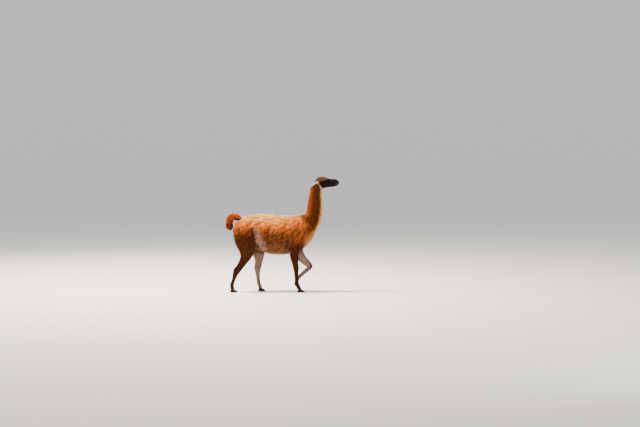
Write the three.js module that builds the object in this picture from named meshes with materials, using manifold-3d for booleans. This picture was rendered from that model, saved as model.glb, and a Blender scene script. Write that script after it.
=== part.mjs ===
// A walking guanaco, life size, as a still museum model in named solids.
// Units are millimetres, +Z is up, the animal walks towards +X, and its right side faces -Y.
// Body places are measured from the floor under the middle of the trunk, and the group is
// then moved so that the origin lies under the middle of the whole animal.
import * as THREE from "three";
import { mergeVertices } from "three/addons/utils/BufferGeometryUtils.js";
import Module from "manifold-3d";

const wasm = await Module();
wasm.setup();

// Driving sizes
const gap = 0.3; // between touching pieces
const originShift = -117; // moves the middle of the whole length onto X = 0
const coatDepth = 16; // from the core of the wool out to the line of its tips
const lockWidth = 112;
const lockThickness = 20;
const eyeRadius = 18.5;
const lidThickness = 3.2;
const mouthCorner = 822; // where the line of the mouth ends, along X
const mouthDepth = 6;
const mouthGap = 2.4;
const earWidth = 50;
const toeSpread = 18; // from the middle of a foot to the middle of a toe
const toeSplay = 5; // degrees that each toe turns out
const randomSeed = 7;

// Each body part is a loft. A station holds the two ends of a section as seen from the side,
// [x, z], half its width, the side offset y, and how far its widest level leans upwards.
const trunk = [
  { over: [-582, 908], under: [-574, 835], half: 42 },
  { over: [-561, 985], under: [-547, 770], half: 97 },
  { over: [-500, 1041], under: [-480, 700], half: 140 },
  { over: [-400, 1083], under: [-385, 655], half: 170 },
  { over: [-290, 1104], under: [-275, 628], half: 186 },
  { over: [-170, 1109], under: [-160, 575], half: 198 },
  { over: [-50, 1104], under: [-40, 545], half: 209 },
  { over: [70, 1095], under: [80, 539], half: 211 },
  { over: [190, 1089], under: [190, 552], half: 202 },
  { over: [300, 1095], under: [300, 568], half: 186 },
  { over: [385, 1102], under: [385, 600], half: 167 },
  { over: [440, 1104], under: [460, 668], half: 147 },
  { over: [500, 1078], under: [530, 755], half: 119 },
  { over: [560, 1020], under: [590, 860], half: 84 },
  { over: [598, 970], under: [612, 905], half: 38 },
];
const neck = [
  { over: [380, 1060], under: [400, 690], half: 120 },
  { over: [412, 1100], under: [515, 738], half: 124 },
  { over: [436, 1132], under: [596, 868], half: 112 },
  { over: [448, 1172], under: [650, 988], half: 99 },
  { over: [455, 1218], under: [674, 1085], half: 88 },
  { over: [461, 1270], under: [680, 1182], half: 80 },
  { over: [468, 1325], under: [680, 1272], half: 74 },
  { over: [477, 1385], under: [677, 1352], half: 70 },
  { over: [488, 1445], under: [672, 1420], half: 67 },
  { over: [508, 1510], under: [668, 1474], half: 65 },
  { over: [550, 1573], under: [690, 1502], half: 60 },
  { over: [596, 1606], under: [712, 1530], half: 40 },
];
const head = [
  { over: [590, 1600], under: [606, 1530], half: 34, lean: 0 },
  { over: [612, 1634], under: [624, 1500], half: 56, lean: 0.05 },
  { over: [648, 1648], under: [652, 1487], half: 66, lean: 0.12 },
  { over: [690, 1650], under: [688, 1487], half: 71, lean: 0.22 },
  { over: [728, 1641], under: [724, 1491], half: 69, lean: 0.3 },
  { over: [762, 1625], under: [758, 1496], half: 58, lean: 0.25 },
  { over: [795, 1620], under: [792, 1499], half: 47, lean: 0.12 },
  { over: [828, 1618], under: [825, 1503], half: 42, lean: 0.02 },
  { over: [858, 1616], under: [853, 1507], half: 40, lean: 0 },
  { over: [885, 1609], under: [877, 1513], half: 38, lean: 0.05 },
  { over: [904, 1595], under: [894, 1522], half: 31, lean: 0.1 },
  { over: [914, 1574], under: [905, 1537], half: 16, lean: 0 },
];
const rightFore = [
  { over: [366, 838], under: [270, 838], half: 20, y: -104 },
  { over: [402, 780], under: [206, 780], half: 54, y: -108 },
  { over: [390, 700], under: [192, 690], half: 60, y: -110 },
  { over: [354, 625], under: [196, 615], half: 55, y: -108 },
  { over: [337, 560], under: [210, 552], half: 47, y: -103 },
  { over: [333, 480], under: [222, 476], half: 40, y: -99 },
  { over: [335, 410], under: [246, 408], half: 35, y: -97 },
  { over: [342, 362], under: [254, 362], half: 36, y: -96 },
  { over: [342, 325], under: [262, 327], half: 34, y: -96 },
  { over: [337, 280], under: [271, 284], half: 28, y: -96 },
  { over: [338, 200], under: [279, 204], half: 25, y: -96 },
  { over: [347, 128], under: [285, 134], half: 28, y: -96 },
  { over: [361, 92], under: [301, 90], half: 28, y: -96 },
  { over: [379, 56], under: [323, 44], half: 28, y: -96 },
  { over: [384, 30], under: [338, 18], half: 21, y: -96 },
];
const leftFore = [
  { over: [366, 838], under: [270, 838], half: 20, y: 104 },
  { over: [402, 775], under: [206, 765], half: 54, y: 108 },
  { over: [398, 692], under: [202, 660], half: 58, y: 109 },
  { over: [386, 618], under: [226, 560], half: 52, y: 105 },
  { over: [410, 548], under: [304, 474], half: 44, y: 101 },
  { over: [452, 484], under: [370, 414], half: 38, y: 98 },
  { over: [492, 436], under: [424, 370], half: 34, y: 96 },
  { over: [528, 392], under: [460, 346], half: 35, y: 95 },
  { over: [530, 338], under: [450, 340], half: 34, y: 95 },
  { over: [486, 290], under: [430, 332], half: 28, y: 95 },
  { over: [424, 240], under: [384, 284], half: 25, y: 95 },
  { over: [366, 188], under: [324, 230], half: 25, y: 95 },
  { over: [340, 154], under: [288, 188], half: 27, y: 95 },
  { over: [332, 114], under: [274, 134], half: 27, y: 95 },
  { over: [314, 80], under: [270, 92], half: 23, y: 95 },
];
const rightHind = [
  { over: [-410, 985], under: [-490, 975], half: 18, y: -96 },
  { over: [-340, 930], under: [-560, 912], half: 54, y: -104 },
  { over: [-296, 868], under: [-590, 846], half: 73, y: -110 },
  { over: [-280, 785], under: [-586, 765], half: 78, y: -112 },
  { over: [-274, 692], under: [-553, 668], half: 72, y: -110 },
  { over: [-281, 612], under: [-509, 582], half: 61, y: -107 },
  { over: [-306, 545], under: [-494, 515], half: 52, y: -104 },
  { over: [-350, 474], under: [-514, 446], half: 43, y: -102 },
  { over: [-402, 410], under: [-548, 384], half: 37, y: -100 },
  { over: [-448, 350], under: [-592, 330], half: 34, y: -99 },
  { over: [-488, 296], under: [-602, 284], half: 31, y: -98 },
  { over: [-538, 230], under: [-609, 218], half: 26, y: -98 },
  { over: [-568, 160], under: [-628, 150], half: 25, y: -98 },
  { over: [-582, 112], under: [-644, 106], half: 27, y: -98 },
  { over: [-579, 74], under: [-639, 62], half: 27, y: -98 },
  { over: [-572, 36], under: [-622, 20], half: 23, y: -98 },
];
const leftHind = [
  { over: [-400, 985], under: [-480, 975], half: 18, y: 96 },
  { over: [-322, 934], under: [-556, 908], half: 54, y: 104 },
  { over: [-258, 876], under: [-580, 840], half: 73, y: 110 },
  { over: [-202, 800], under: [-548, 745], half: 78, y: 113 },
  { over: [-150, 702], under: [-466, 642], half: 72, y: 110 },
  { over: [-138, 612], under: [-378, 570], half: 61, y: 107 },
  { over: [-154, 540], under: [-317, 512], half: 51, y: 104 },
  { over: [-170, 466], under: [-295, 450], half: 42, y: 102 },
  { over: [-185, 404], under: [-297, 398], half: 37, y: 100 },
  { over: [-198, 346], under: [-308, 352], half: 34, y: 99 },
  { over: [-212, 294], under: [-300, 302], half: 31, y: 98 },
  { over: [-218, 236], under: [-285, 240], half: 26, y: 98 },
  { over: [-214, 158], under: [-273, 160], half: 25, y: 98 },
  { over: [-205, 108], under: [-267, 112], half: 27, y: 98 },
  { over: [-190, 70], under: [-249, 66], half: 27, y: 98 },
  { over: [-182, 34], under: [-232, 20], half: 23, y: 98 },
];
// The tail is a raised hook with a bushy end: the middle of each section, [x, z], and its radius.
const tail = [
  { at: [-472, 1004], radius: 29 },
  { at: [-514, 1048], radius: 30 },
  { at: [-562, 1075], radius: 31 },
  { at: [-608, 1073], radius: 31 },
  { at: [-642, 1045], radius: 30 },
  { at: [-656, 1002], radius: 28 },
  { at: [-651, 956], radius: 32 },
  { at: [-641, 914], radius: 22 },
];

// One toe in a foot's own frame: x is forward, and the sole is at z = 0.
const toe = [
  { over: [-38, 34], under: [-36, 4], half: 9 },
  { over: [-24, 52], under: [-24, -5], half: 17 },
  { over: [-2, 50], under: [-2, -6], half: 19 },
  { over: [20, 39], under: [20, -6], half: 18 },
  { over: [38, 28], under: [36, -4], half: 14 },
  { over: [47, 18], under: [46, 3], half: 7 },
];
const nail = [
  { over: [26, 39], under: [28, 18], half: 9 },
  { over: [40, 33], under: [38, 8], half: 11 },
  { over: [54, 21], under: [50, 3], half: 8 },
  { over: [63, 8], under: [61, 3], half: 2.5 },
];
// Where each foot is, and how far it is pitched nose down, in degrees.
const feet = {
  front_right: { x: 360, y: -96, z: 0, pitch: 0 },
  front_left: { x: 290, y: 95, z: 96, pitch: 72 },
  hind_right: { x: -598, y: -98, z: 0, pitch: 0 },
  hind_left: { x: -206, y: 98, z: 0, pitch: 0 },
};

const vector = (x, y, z) => new THREE.Vector3(x, y, z);
const alongY = vector(0, 1, 0);
const smooth = (low, high, value) => THREE.MathUtils.smoothstep(value, low, high);
const bump = (distance, reach) => Math.exp(-((distance / reach) ** 2));

// The edges of a loft as curves, so that any point on it can be asked for. Turn 0 is over and
// half a turn is under, and grow moves the whole surface outwards.
function loftSurface(stations, grow = 0, shape = (p) => p) {
  const edge = (name) => new THREE.CatmullRomCurve3(
    stations.map((s) => vector(s[name][0], s.y ?? 0, s[name][1])),
  );
  const over = edge("over");
  const under = edge("under");
  const widths = new THREE.CatmullRomCurve3(
    stations.map((s) => vector(s.half, s.lean ?? 0, 0)),
  );
  return (t, turn) => {
    const top = over.getPoint(t);
    const low = under.getPoint(t);
    const width = widths.getPoint(t);
    const angle = turn * 2 * Math.PI;
    const half = top.clone().sub(low).multiplyScalar(0.5);
    const reach = half.length();
    const level = Math.cos(angle);
    const across = (width.x + grow) * Math.sin(angle) * (1 + width.y * level);
    const point = top.add(low).multiplyScalar(0.5)
      .addScaledVector(half.divideScalar(reach), (reach + grow) * level)
      .addScaledVector(alongY, across);
    return shape(point, t, turn);
  };
}

// Closes rings of equal length into one body, with a fan over each end.
function closeRings(rings) {
  const count = rings[0].length;
  const points = rings.flat();
  const middle = (ring) => ring.reduce((sum, p) => sum.add(p), vector(0, 0, 0)).divideScalar(count);
  const first = points.push(middle(rings[0])) - 1;
  const last = points.push(middle(rings.at(-1))) - 1;
  const faces = [];
  for (let i = 0; i < rings.length; i++) {
    for (let j = 0; j < count; j++) {
      const a = i * count + j;
      const b = i * count + ((j + 1) % count);
      if (i === 0) faces.push(first, b, a);
      if (i === rings.length - 1) faces.push(last, a, b);
      else faces.push(a, b, b + count, a, b + count, a + count);
    }
  }
  const geometry = new THREE.BufferGeometry().setFromPoints(points);
  geometry.setIndex(faces);
  return geometry;
}

// A manifold solid from a closed geometry, turned the right way out.
function solidOf(geometry) {
  const bare = geometry.clone();
  bare.deleteAttribute("normal");
  bare.deleteAttribute("uv");
  const merged = mergeVertices(bare, 1e-4);
  const triVerts = new Uint32Array(merged.index.array);
  const vertProperties = merged.attributes.position.array;
  const make = () => new wasm.Manifold(new wasm.Mesh({ numProp: 3, vertProperties, triVerts }));
  const made = make();
  if (made.volume() > 0) return made;
  for (let i = 0; i < triVerts.length; i += 3) triVerts.subarray(i, i + 3).reverse();
  return make();
}

// A loft as a solid. When it grows, its two ends move out along it as well.
function loft(stations, { rings, sides, grow = 0, shape } = {}) {
  const surface = loftSurface(stations, grow, shape);
  const made = [];
  for (let i = 0; i <= rings; i++) {
    made.push(Array.from({ length: sides }, (_, j) => surface(i / rings, j / sides)));
  }
  for (const [end, inner] of [[made[0], made[1]], [made.at(-1), made.at(-2)]]) {
    const out = end[0].clone().add(end[sides / 2]).sub(inner[0]).sub(inner[sides / 2]);
    out.normalize().multiplyScalar(grow);
    end.forEach((point) => point.add(out));
  }
  return solidOf(closeRings(made));
}

// Stations of a round part from its middle line and radii, with sections square to the line.
function roundStations(line) {
  const curve = new THREE.CatmullRomCurve3(line.map((s) => vector(s.at[0], 0, s.at[1])));
  return line.map((s, i) => {
    const along = curve.getTangent(i / (line.length - 1));
    const out = [-along.z * s.radius, along.x * s.radius];
    return {
      over: [s.at[0] + out[0], s.at[1] + out[1]],
      under: [s.at[0] - out[0], s.at[1] - out[1]],
      half: s.radius,
    };
  });
}

// A large box on the side of a plane that its normal points to. The plane is seen edge-on
// from the side and runs through two points, with the kept side on the left of a to b.
function beside(a, b, shift) {
  const size = 4000;
  const from = vector(a[0], 0, a[1]);
  const along = vector(b[0] - a[0], 0, b[1] - a[1]).normalize();
  const normal = vector(-along.z, 0, along.x);
  const turn = new THREE.Matrix4().makeBasis(along, alongY, normal);
  const box = new THREE.BoxGeometry(size, size, size).applyMatrix4(turn);
  const middle = from.addScaledVector(normal, size / 2 + shift);
  return solidOf(box.translate(middle.x, middle.y, middle.z));
}

function ball(centre, radius, across = 16) {
  const sphere = new THREE.SphereGeometry(radius, across, across / 2);
  return solidOf(sphere.translate(centre.x, centre.y, centre.z));
}

const joined = (solids) => wasm.Manifold.union(solids);
const largest = (solid) => solid.decompose().sort((a, b) => b.volume() - a.volume())[0];

// A repeatable draw between 0 and 1
let drawn = randomSeed;
function draw() {
  drawn = (drawn * 16807) % 2147483647;
  return drawn / 2147483647;
}
const vary = (share) => 1 + share * (2 * draw() - 1);

// A flat, tapered lock that starts inside a surface, follows it and lifts at its tip. It runs
// from (t, turn) by (runT, runTurn), and lift gives its middle line's height at each ring.
function lock(surface, { t, turn, runT, runTurn, width, thick, lift, swing = 0 }) {
  const step = 0.002;
  const shares = [0, 0.6, 1];
  const fullness = [0.85, 1, 0.14];
  const rings = shares.map((share, i) => {
    const atT = THREE.MathUtils.clamp(t + runT * share, step, 1 - step);
    const atTurn = turn + runTurn * share + swing * share * share;
    const base = surface(atT, atTurn);
    const alongT = surface(atT + step, atTurn).sub(base);
    const alongTurn = surface(atT, atTurn + step).sub(base);
    const normal = alongT.clone().cross(alongTurn).normalize();
    const path = alongT.multiplyScalar(runT).addScaledVector(alongTurn, runTurn).normalize();
    const side = path.cross(normal).normalize();
    const middle = base.addScaledVector(normal, lift[i]);
    const w = width * fullness[i] / 2;
    const h = thick * fullness[i] / 2;
    return [
      middle.clone().addScaledVector(side, w),
      middle.clone().addScaledVector(normal, h),
      middle.clone().addScaledVector(side, -w),
      middle.clone().addScaledVector(normal, -h),
    ];
  });
  return solidOf(closeRings(rings));
}

// The wool of the trunk: rows of locks round the barrel, swept back along the spine and
// hanging on the flanks, each line of them set half a step on from the one above it.
function trunkWool(surface) {
  const rows = 10;
  const around = 6;
  const firstT = 0.085;
  const spanT = 0.8;
  const firstTurn = 0.016;
  const spanTurn = 0.46;
  const locks = [];
  for (const side of [1, -1]) {
    for (let i = 0; i < rows; i++) {
      for (let j = 0; j < around; j++) {
        const t = firstT + (spanT * (i + (j % 2) / 2 + 0.3 * draw())) / rows;
        const turn = firstTurn + (spanTurn * (j + 0.3 * draw())) / around;
        const hang = smooth(0.02, 0.18, turn) * (1 - smooth(0.36, 0.5, turn));
        const behindNeck = t > 0.77 && turn < 0.16;
        const overThigh = t < 0.3 && turn > 0.24;
        const overArm = t > 0.62 && t < 0.8 && turn > 0.34;
        if (behindNeck || overThigh || overArm) continue;
        locks.push(lock(surface, {
          t,
          turn: side * turn,
          runT: (-0.1 + 0.062 * hang) * vary(0.2),
          runTurn: side * (0.014 + 0.076 * hang) * vary(0.2),
          swing: side * 0.01 * (2 * draw() - 1),
          width: lockWidth * vary(0.15),
          thick: lockThickness * vary(0.15),
          lift: [-9, 9, 19 + 5 * draw()],
        }));
      }
    }
  }
  return locks;
}

// The tail's long hair: locks that run on towards its tip, all round it.
function tailHair(surface) {
  const locks = [];
  const rows = 3;
  const around = 3;
  const firstT = 0.2;
  const spanT = 0.66;
  for (let i = 0; i < rows; i++) {
    for (let j = 0; j < around; j++) {
      const t = firstT + (spanT * (i + 0.2 * draw())) / rows;
      locks.push(lock(surface, {
        t,
        turn: (j + (i % 2) / 2 + 0.2 * draw()) / around,
        runT: 0.2 * vary(0.15),
        runTurn: 0.03 * (2 * draw() - 1),
        width: 42 * vary(0.15),
        thick: 11,
        lift: [-5, 3, 6 + 3 * draw()],
      }));
    }
  }
  return locks;
}

// The height of the line of the mouth along X
const mouthLine = (x) => 1546 - 5 * smooth(825, 880, x) - 3 * smooth(860, 905, x);

// The head's own forms, pushed in or out of the plain loft. Each is a soft bump at [x, z].
function headForms(point) {
  const { x, y, z } = point;
  const near = (centreX, centreZ, reach) => bump(Math.hypot(x - centreX, z - centreZ), reach);
  const brow = 5 * near(738, 1617, 20);
  const hollowBeforeEye = 5 * near(775, 1583, 22);
  const cheekbone = 4 * near(745, 1556, 22);
  const jaw = 4 * near(672, 1530, 34);
  const noseWing = 4 * near(894, 1583, 13);
  const upperLip = 4.5 * bump(z - mouthLine(x) - 10, 9);
  const lowerLip = 4 * bump(z - mouthLine(x) + 9, 8);
  const lips = (upperLip + lowerLip) * smooth(mouthCorner - 12, mouthCorner + 30, x);
  const out = brow - hollowBeforeEye + cheekbone + jaw + noseWing + lips;
  point.y += Math.sign(y) * out * smooth(0, 14, Math.abs(y));
  return point;
}

// The eye looks outwards and a little forwards.
const eyes = { left: 1, right: -1 };
const eyePlace = (side) => vector(738, side * 52.5, 1588);
const eyeLook = (side) => vector(0.36, side, 0.06).normalize();

// A prism of almond outline along the way that the eye looks, which opens the lids.
function lidOpening(side) {
  const outline = new THREE.Shape();
  outline.moveTo(-17, -2);
  outline.quadraticCurveTo(-2, 17, 17.5, 1);
  outline.quadraticCurveTo(1, -15, -17, -2);
  const prism = new THREE.ExtrudeGeometry(outline, {
    depth: 40, bevelEnabled: false, curveSegments: 6,
  });
  const look = eyeLook(side);
  const forward = vector(1, 0, 0).projectOnPlane(look).normalize();
  const up = forward.clone().cross(look).multiplyScalar(side);
  const place = new THREE.Matrix4().makeBasis(forward, up, look);
  place.setPosition(eyePlace(side).addScaledVector(look, 4));
  return solidOf(prism.applyMatrix4(place));
}

// The line of the mouth: a thin plate bent along it, kept only near the surface.
function mouthCut(inner) {
  const steps = 8;
  const length = 100; // runs out past the lips
  const width = 80;
  const rings = Array.from({ length: steps + 1 }, (_, i) => {
    const x = mouthCorner + (length * i) / steps;
    const z = mouthLine(x);
    const half = mouthGap / 2 * (0.25 + 0.75 * smooth(0, 20, x - mouthCorner));
    return [
      vector(x, -width, z + half), vector(x, width, z + half),
      vector(x, width, z - half), vector(x, -width, z - half),
    ];
  });
  return solidOf(closeRings(rings)).subtract(inner);
}

// A slanted slit of a nostril on one side, and the groove that splits the upper lip.
function nostril(side) {
  const slit = new THREE.SphereGeometry(1, 10, 6).scale(10, 5, 3.2);
  slit.rotateY(THREE.MathUtils.degToRad(-38));
  slit.rotateZ(THREE.MathUtils.degToRad(-side * 28));
  return solidOf(slit.translate(899, side * 24, 1584));
}
function lipCleft() {
  const groove = new THREE.BoxGeometry(16, 2.4, 34);
  groove.rotateY(THREE.MathUtils.degToRad(-14));
  return solidOf(groove.translate(915, 0, 1560));
}

// Both ears are laid back along the neck, and the left one is carried a little higher.
const ears = {
  left: { root: vector(610, 46, 1584), tip: vector(494, 86, 1478) },
  right: { root: vector(613, -47, 1572), tip: vector(491, -80, 1456) },
};

// An ear is a spear-shaped cup: rings of an outer arc and an inner arc, from its root to its
// tip, with the mouth of the cup facing outwards and down.
function ear(side) {
  const arc = 6; // steps across the cup
  const count = 9; // steps along it
  const { root, tip } = side > 0 ? ears.left : ears.right;
  const along = tip.clone().sub(root);
  const earLength = along.length();
  along.normalize();
  const back = vector(-0.2, -side * 0.8, 0.6).projectOnPlane(along).normalize();
  const wide = along.clone().cross(back).normalize();
  const rings = [];
  for (let i = 0; i <= count; i++) {
    const share = i / count;
    const swell = Math.sin(Math.PI * (0.16 + 0.81 * share ** 0.9));
    const half = 2 + (earWidth / 2 - 2) * swell ** 0.9;
    const depth = half * 0.62;
    const wall = 3.2 + 3 * (1 - share);
    const cup = smooth(0.1, 0.35, share); // the root is solid and the cup opens above it
    const bend = 7 * Math.sin(Math.PI * share);
    const middle = root.clone().addScaledVector(along, earLength * share).addScaledVector(back, bend);
    const place = (reach, angle, rise) => middle.clone()
      .addScaledVector(wide, reach * Math.sin(angle)).addScaledVector(back, rise);
    const angles = Array.from({ length: arc + 1 }, (_, k) => Math.PI * (k / arc - 0.5));
    const outer = angles.map((angle) => place(half, angle, depth * Math.cos(angle)));
    const inner = angles.slice(1, -1).reverse().map((angle) => {
      const rise = (depth - wall) * Math.cos(angle) * cup - half * 0.25 * (1 - cup);
      return place(half - wall * 0.4, angle, rise);
    });
    rings.push([...outer, ...inner]);
  }
  return solidOf(closeRings(rings));
}

// One foot: two toes with a nail each, placed and pitched, with flat soles.
function footPieces(foot) {
  const steps = { rings: 5, sides: 8 };
  const sole = beside([0, 0], [1, 0], 0);
  const aboveSole = beside([0, 0], [1, 0], 1);
  const plainToe = loft(toe, steps).intersect(sole);
  const plainNail = largest(loft(nail, { rings: 4, sides: 6 })
    .intersect(aboveSole).subtract(loft(toe, { ...steps, grow: gap })));
  const place = new THREE.Matrix4().makeRotationY(THREE.MathUtils.degToRad(foot.pitch));
  place.setPosition(foot.x, foot.y, foot.z);
  const spread = [1, -1].map((side) => {
    const splay = new THREE.Matrix4().makeRotationZ(THREE.MathUtils.degToRad(side * toeSplay));
    return splay.setPosition(0, side * toeSpread, 0).premultiply(place).elements;
  });
  return {
    toes: spread.map((matrix) => plainToe.transform(matrix)),
    nails: spread.map((matrix) => plainNail.transform(matrix)),
  };
}

// Where a leg is parted, as pairs of points of a plane seen from the side: from the trunk, at
// the knee or hock, and at the fetlock. The piece above a cut lies on the left of its points.
const legCuts = {
  front_right: [[[200, 640], [400, 640]], [[200, 392], [400, 392]], [[250, 142], [400, 132]]],
  front_left: [[[200, 630], [420, 650]], [[400, 372], [560, 446]], [[290, 204], [372, 166]]],
  hind_right: [[[-600, 690], [-280, 720]], [[-600, 372], [-420, 412]], [[-680, 118], [-560, 126]]],
  hind_left: [[[-500, 690], [-140, 690]], [[-330, 408], [-180, 408]], [[-300, 126], [-180, 120]]],
};

const finishes = {
  wool: { color: 0xb8713a, roughness: 0.95, metalness: 0 },
  neck: { color: 0xa85c28, roughness: 0.95, metalness: 0 },
  leg: { color: 0x8a5230, roughness: 0.95, metalness: 0 },
  face: { color: 0x2b211d, roughness: 0.9, metalness: 0 },
  ear: { color: 0x8d7562, roughness: 0.95, metalness: 0 },
  eye: { color: 0x120b08, roughness: 0.1, metalness: 0 },
  nail: { color: 0x1d1815, roughness: 0.5, metalness: 0 },
};
const group = new THREE.Group();
group.position.x = originShift;

function addNode(name, solid, finish) {
  const mesh = largest(solid).getMesh();
  const geometry = new THREE.BufferGeometry();
  geometry.setAttribute("position", new THREE.BufferAttribute(mesh.vertProperties, 3));
  geometry.setIndex(new THREE.BufferAttribute(mesh.triVerts, 1));
  const node = new THREE.Mesh(geometry, new THREE.MeshStandardMaterial(finishes[finish]));
  node.name = name;
  group.add(node);
}

// The two sides of a cut, each standing off by half the gap
const above = (cut, off = gap / 2) => beside(cut[0], cut[1], off);
const below = (cut, off = gap / 2) => beside(cut[1], cut[0], off);

// Legs first, because the trunk is cut clear of them. What lies above a leg's first cut is
// the trunk's: its haunch or shoulder.
const legTables = {
  front_right: rightFore, front_left: leftFore, hind_right: rightHind, hind_left: leftHind,
};
const legSteps = { rings: 22, sides: 10 };
const haunches = [];
const legRoom = [];
for (const [name, stations] of Object.entries(legTables)) {
  const { toes, nails } = footPieces(feet[name]);
  const limb = loft(stations, legSteps);
  const [hip, knee, fetlock] = legCuts[name];
  const aboveFloor = beside([0, 0], [1, 0], 0);
  const leg = joined([limb, ...toes]).intersect(aboveFloor);
  addNode(`leg_${name}_upper`, leg.intersect(below(hip)).intersect(above(knee)), "leg");
  addNode(`leg_${name}_lower`, leg.intersect(below(knee)).intersect(above(fetlock)), "leg");
  addNode(`leg_${name}_foot`, leg.intersect(below(fetlock)), "leg");
  nails.forEach((piece, i) => addNode(`nail_${name}_${i + 1}`, piece, "nail"));
  haunches.push(limb.intersect(above(hip)));
  legRoom.push(loft(stations, { ...legSteps, grow: gap }).intersect(below(hip, -gap / 2)));
}

// Trunk, neck and head are one flesh, parted by two flat cuts.
const core = trunk.map(({ over, under, half }) => {
  const inset = vector(over[0] - under[0], 0, over[1] - under[1]).setLength(coatDepth);
  return {
    over: [over[0] - inset.x, over[1] - inset.z],
    under: [under[0] + inset.x, under[1] + inset.z],
    half: half - coatDepth,
  };
});
const headSteps = { rings: 25, sides: 22, shape: headForms };
const neckSteps = { rings: 16, sides: 16 };
const headLoft = loft(head, headSteps);
const neckLoft = loft(neck, neckSteps);
const trunkLoft = loft(core, { rings: 20, sides: 20 });
const throat = [[540, 1556], [680, 1478]];
const neckBase = [[418, 1128], [612, 850]];

function buildHead() {
  const sides = Object.values(eyes);
  const inner = loft(head, { rings: 12, sides: 14, grow: -mouthDepth, shape: headForms });
  const lids = sides.map((side) => ball(eyePlace(side), eyeRadius + lidThickness));
  let skull = joined([headLoft, neckLoft, ...lids]).intersect(above(throat));
  for (const side of sides) {
    skull = skull.subtract(ball(eyePlace(side), eyeRadius + gap))
      .subtract(lidOpening(side))
      .subtract(nostril(side));
  }
  return skull.subtract(mouthCut(inner)).subtract(lipCleft());
}
addNode("head", buildHead(), "face");

const headRoom = joined([
  loft(head, { ...headSteps, grow: gap }),
  loft(neck, { ...neckSteps, grow: gap }),
]);
for (const [name, side] of Object.entries(eyes)) {
  addNode(`eye_${name}`, ball(eyePlace(side), eyeRadius), "eye");
  addNode(`ear_${name}`, ear(side).subtract(headRoom), "ear");
}

const flesh = joined([headLoft, neckLoft, trunkLoft]);
addNode("neck", flesh.intersect(below(throat)).intersect(above(neckBase)), "neck");

const tailStations = roundStations(tail);
const tailSteps = { rings: 16, sides: 10 };
const tailCut = [[-590, 1040], [-640, 1110]];
const hairyTail = joined([loft(tailStations, tailSteps), ...tailHair(loftSurface(tailStations))]);
addNode("tail_root", hairyTail.intersect(below(tailCut)), "wool");
addNode("tail_tip", hairyTail.intersect(above(tailCut)), "wool");

const woolly = joined([trunkLoft, neckLoft, ...haunches, ...trunkWool(loftSurface(core))]);
const rooms = joined([...legRoom, loft(tailStations, { ...tailSteps, grow: gap })]);
addNode("torso", woolly.intersect(below(neckBase)).subtract(rooms), "wool");

export default group;
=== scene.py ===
import bpy
import numpy as np
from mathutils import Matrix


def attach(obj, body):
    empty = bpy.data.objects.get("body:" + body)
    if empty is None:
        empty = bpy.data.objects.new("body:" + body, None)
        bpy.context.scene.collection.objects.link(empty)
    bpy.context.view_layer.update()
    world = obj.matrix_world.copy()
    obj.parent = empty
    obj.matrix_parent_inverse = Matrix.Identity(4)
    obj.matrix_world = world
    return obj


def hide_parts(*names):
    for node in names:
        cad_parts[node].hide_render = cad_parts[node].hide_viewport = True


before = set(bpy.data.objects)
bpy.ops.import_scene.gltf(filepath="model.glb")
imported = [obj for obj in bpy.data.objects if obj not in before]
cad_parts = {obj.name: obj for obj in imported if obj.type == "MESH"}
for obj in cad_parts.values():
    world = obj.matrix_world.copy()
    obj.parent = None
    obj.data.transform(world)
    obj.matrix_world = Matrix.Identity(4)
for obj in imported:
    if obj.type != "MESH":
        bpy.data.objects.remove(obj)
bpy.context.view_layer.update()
print("frame loaded")

originShift = -117  # mm, moves the middle of the whole length onto X = 0
scene = bpy.context.scene


# Small helpers on arrays

def smooth(low, high, value):
    # 0 before low, 1 past high, and an S-shaped rise 3s^2 - 2s^3 between them
    share = np.clip((value - low) / (high - low), 0, 1)
    return share * share * (3 - 2 * share)


def bell(distance, reach):
    # exp(-(d / reach)^2)
    return np.exp(-(distance / reach) ** 2)


def unit(vectors):
    # Each vector over its length
    return vectors / np.maximum(np.linalg.norm(vectors, axis=-1, keepdims=True), 1e-9)


def blend(a, b, share):
    # a where share is 0 and b where it is 1, on rows of numbers
    return a + (np.asarray(b) - a) * np.asarray(share)[..., None]


def rgb(red, green, blue):
    # A screen colour of 0 to 255 as the linear colour that shaders use
    shade = np.array([red, green, blue]) / 255
    return np.where(shade > 0.04045, ((shade + 0.055) / 1.055) ** 2.4, shade / 12.92)


def curveThrough(points, t):
    # Centripetal Catmull-Rom: cubic pieces through the points, timed by the root of each
    # chord, where t runs from 0 to 1 over all the pieces
    points = np.asarray(points, float)
    padded = np.vstack([2 * points[0] - points[1], points, 2 * points[-1] - points[-2]])
    place = np.clip(t, 0, 1) * (len(points) - 1)
    index = np.minimum(place.astype(int), len(points) - 2)
    s = (place - index)[..., None]
    a, b, c, d = (padded[index + k] for k in range(4))

    def chord(p, q):
        return np.maximum(np.sum((q - p) ** 2, -1, keepdims=True) ** 0.25, 1e-4)

    first, second, third = chord(a, b), chord(b, c), chord(c, d)
    leave = second * ((b - a) / first - (c - a) / (first + second) + (c - b) / second)
    reach = second * ((c - b) / second - (d - b) / (second + third) + (d - c) / third)
    return b + s * (leave + s * (3 * (c - b) - 2 * leave - reach + s * (2 * (b - c) + leave + reach)))


# Body tables. A station is [over x, over z, under x, under z, half width, lean or side y,
# depth of coat], and the skin lies inside it by the depth of the coat.

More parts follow.
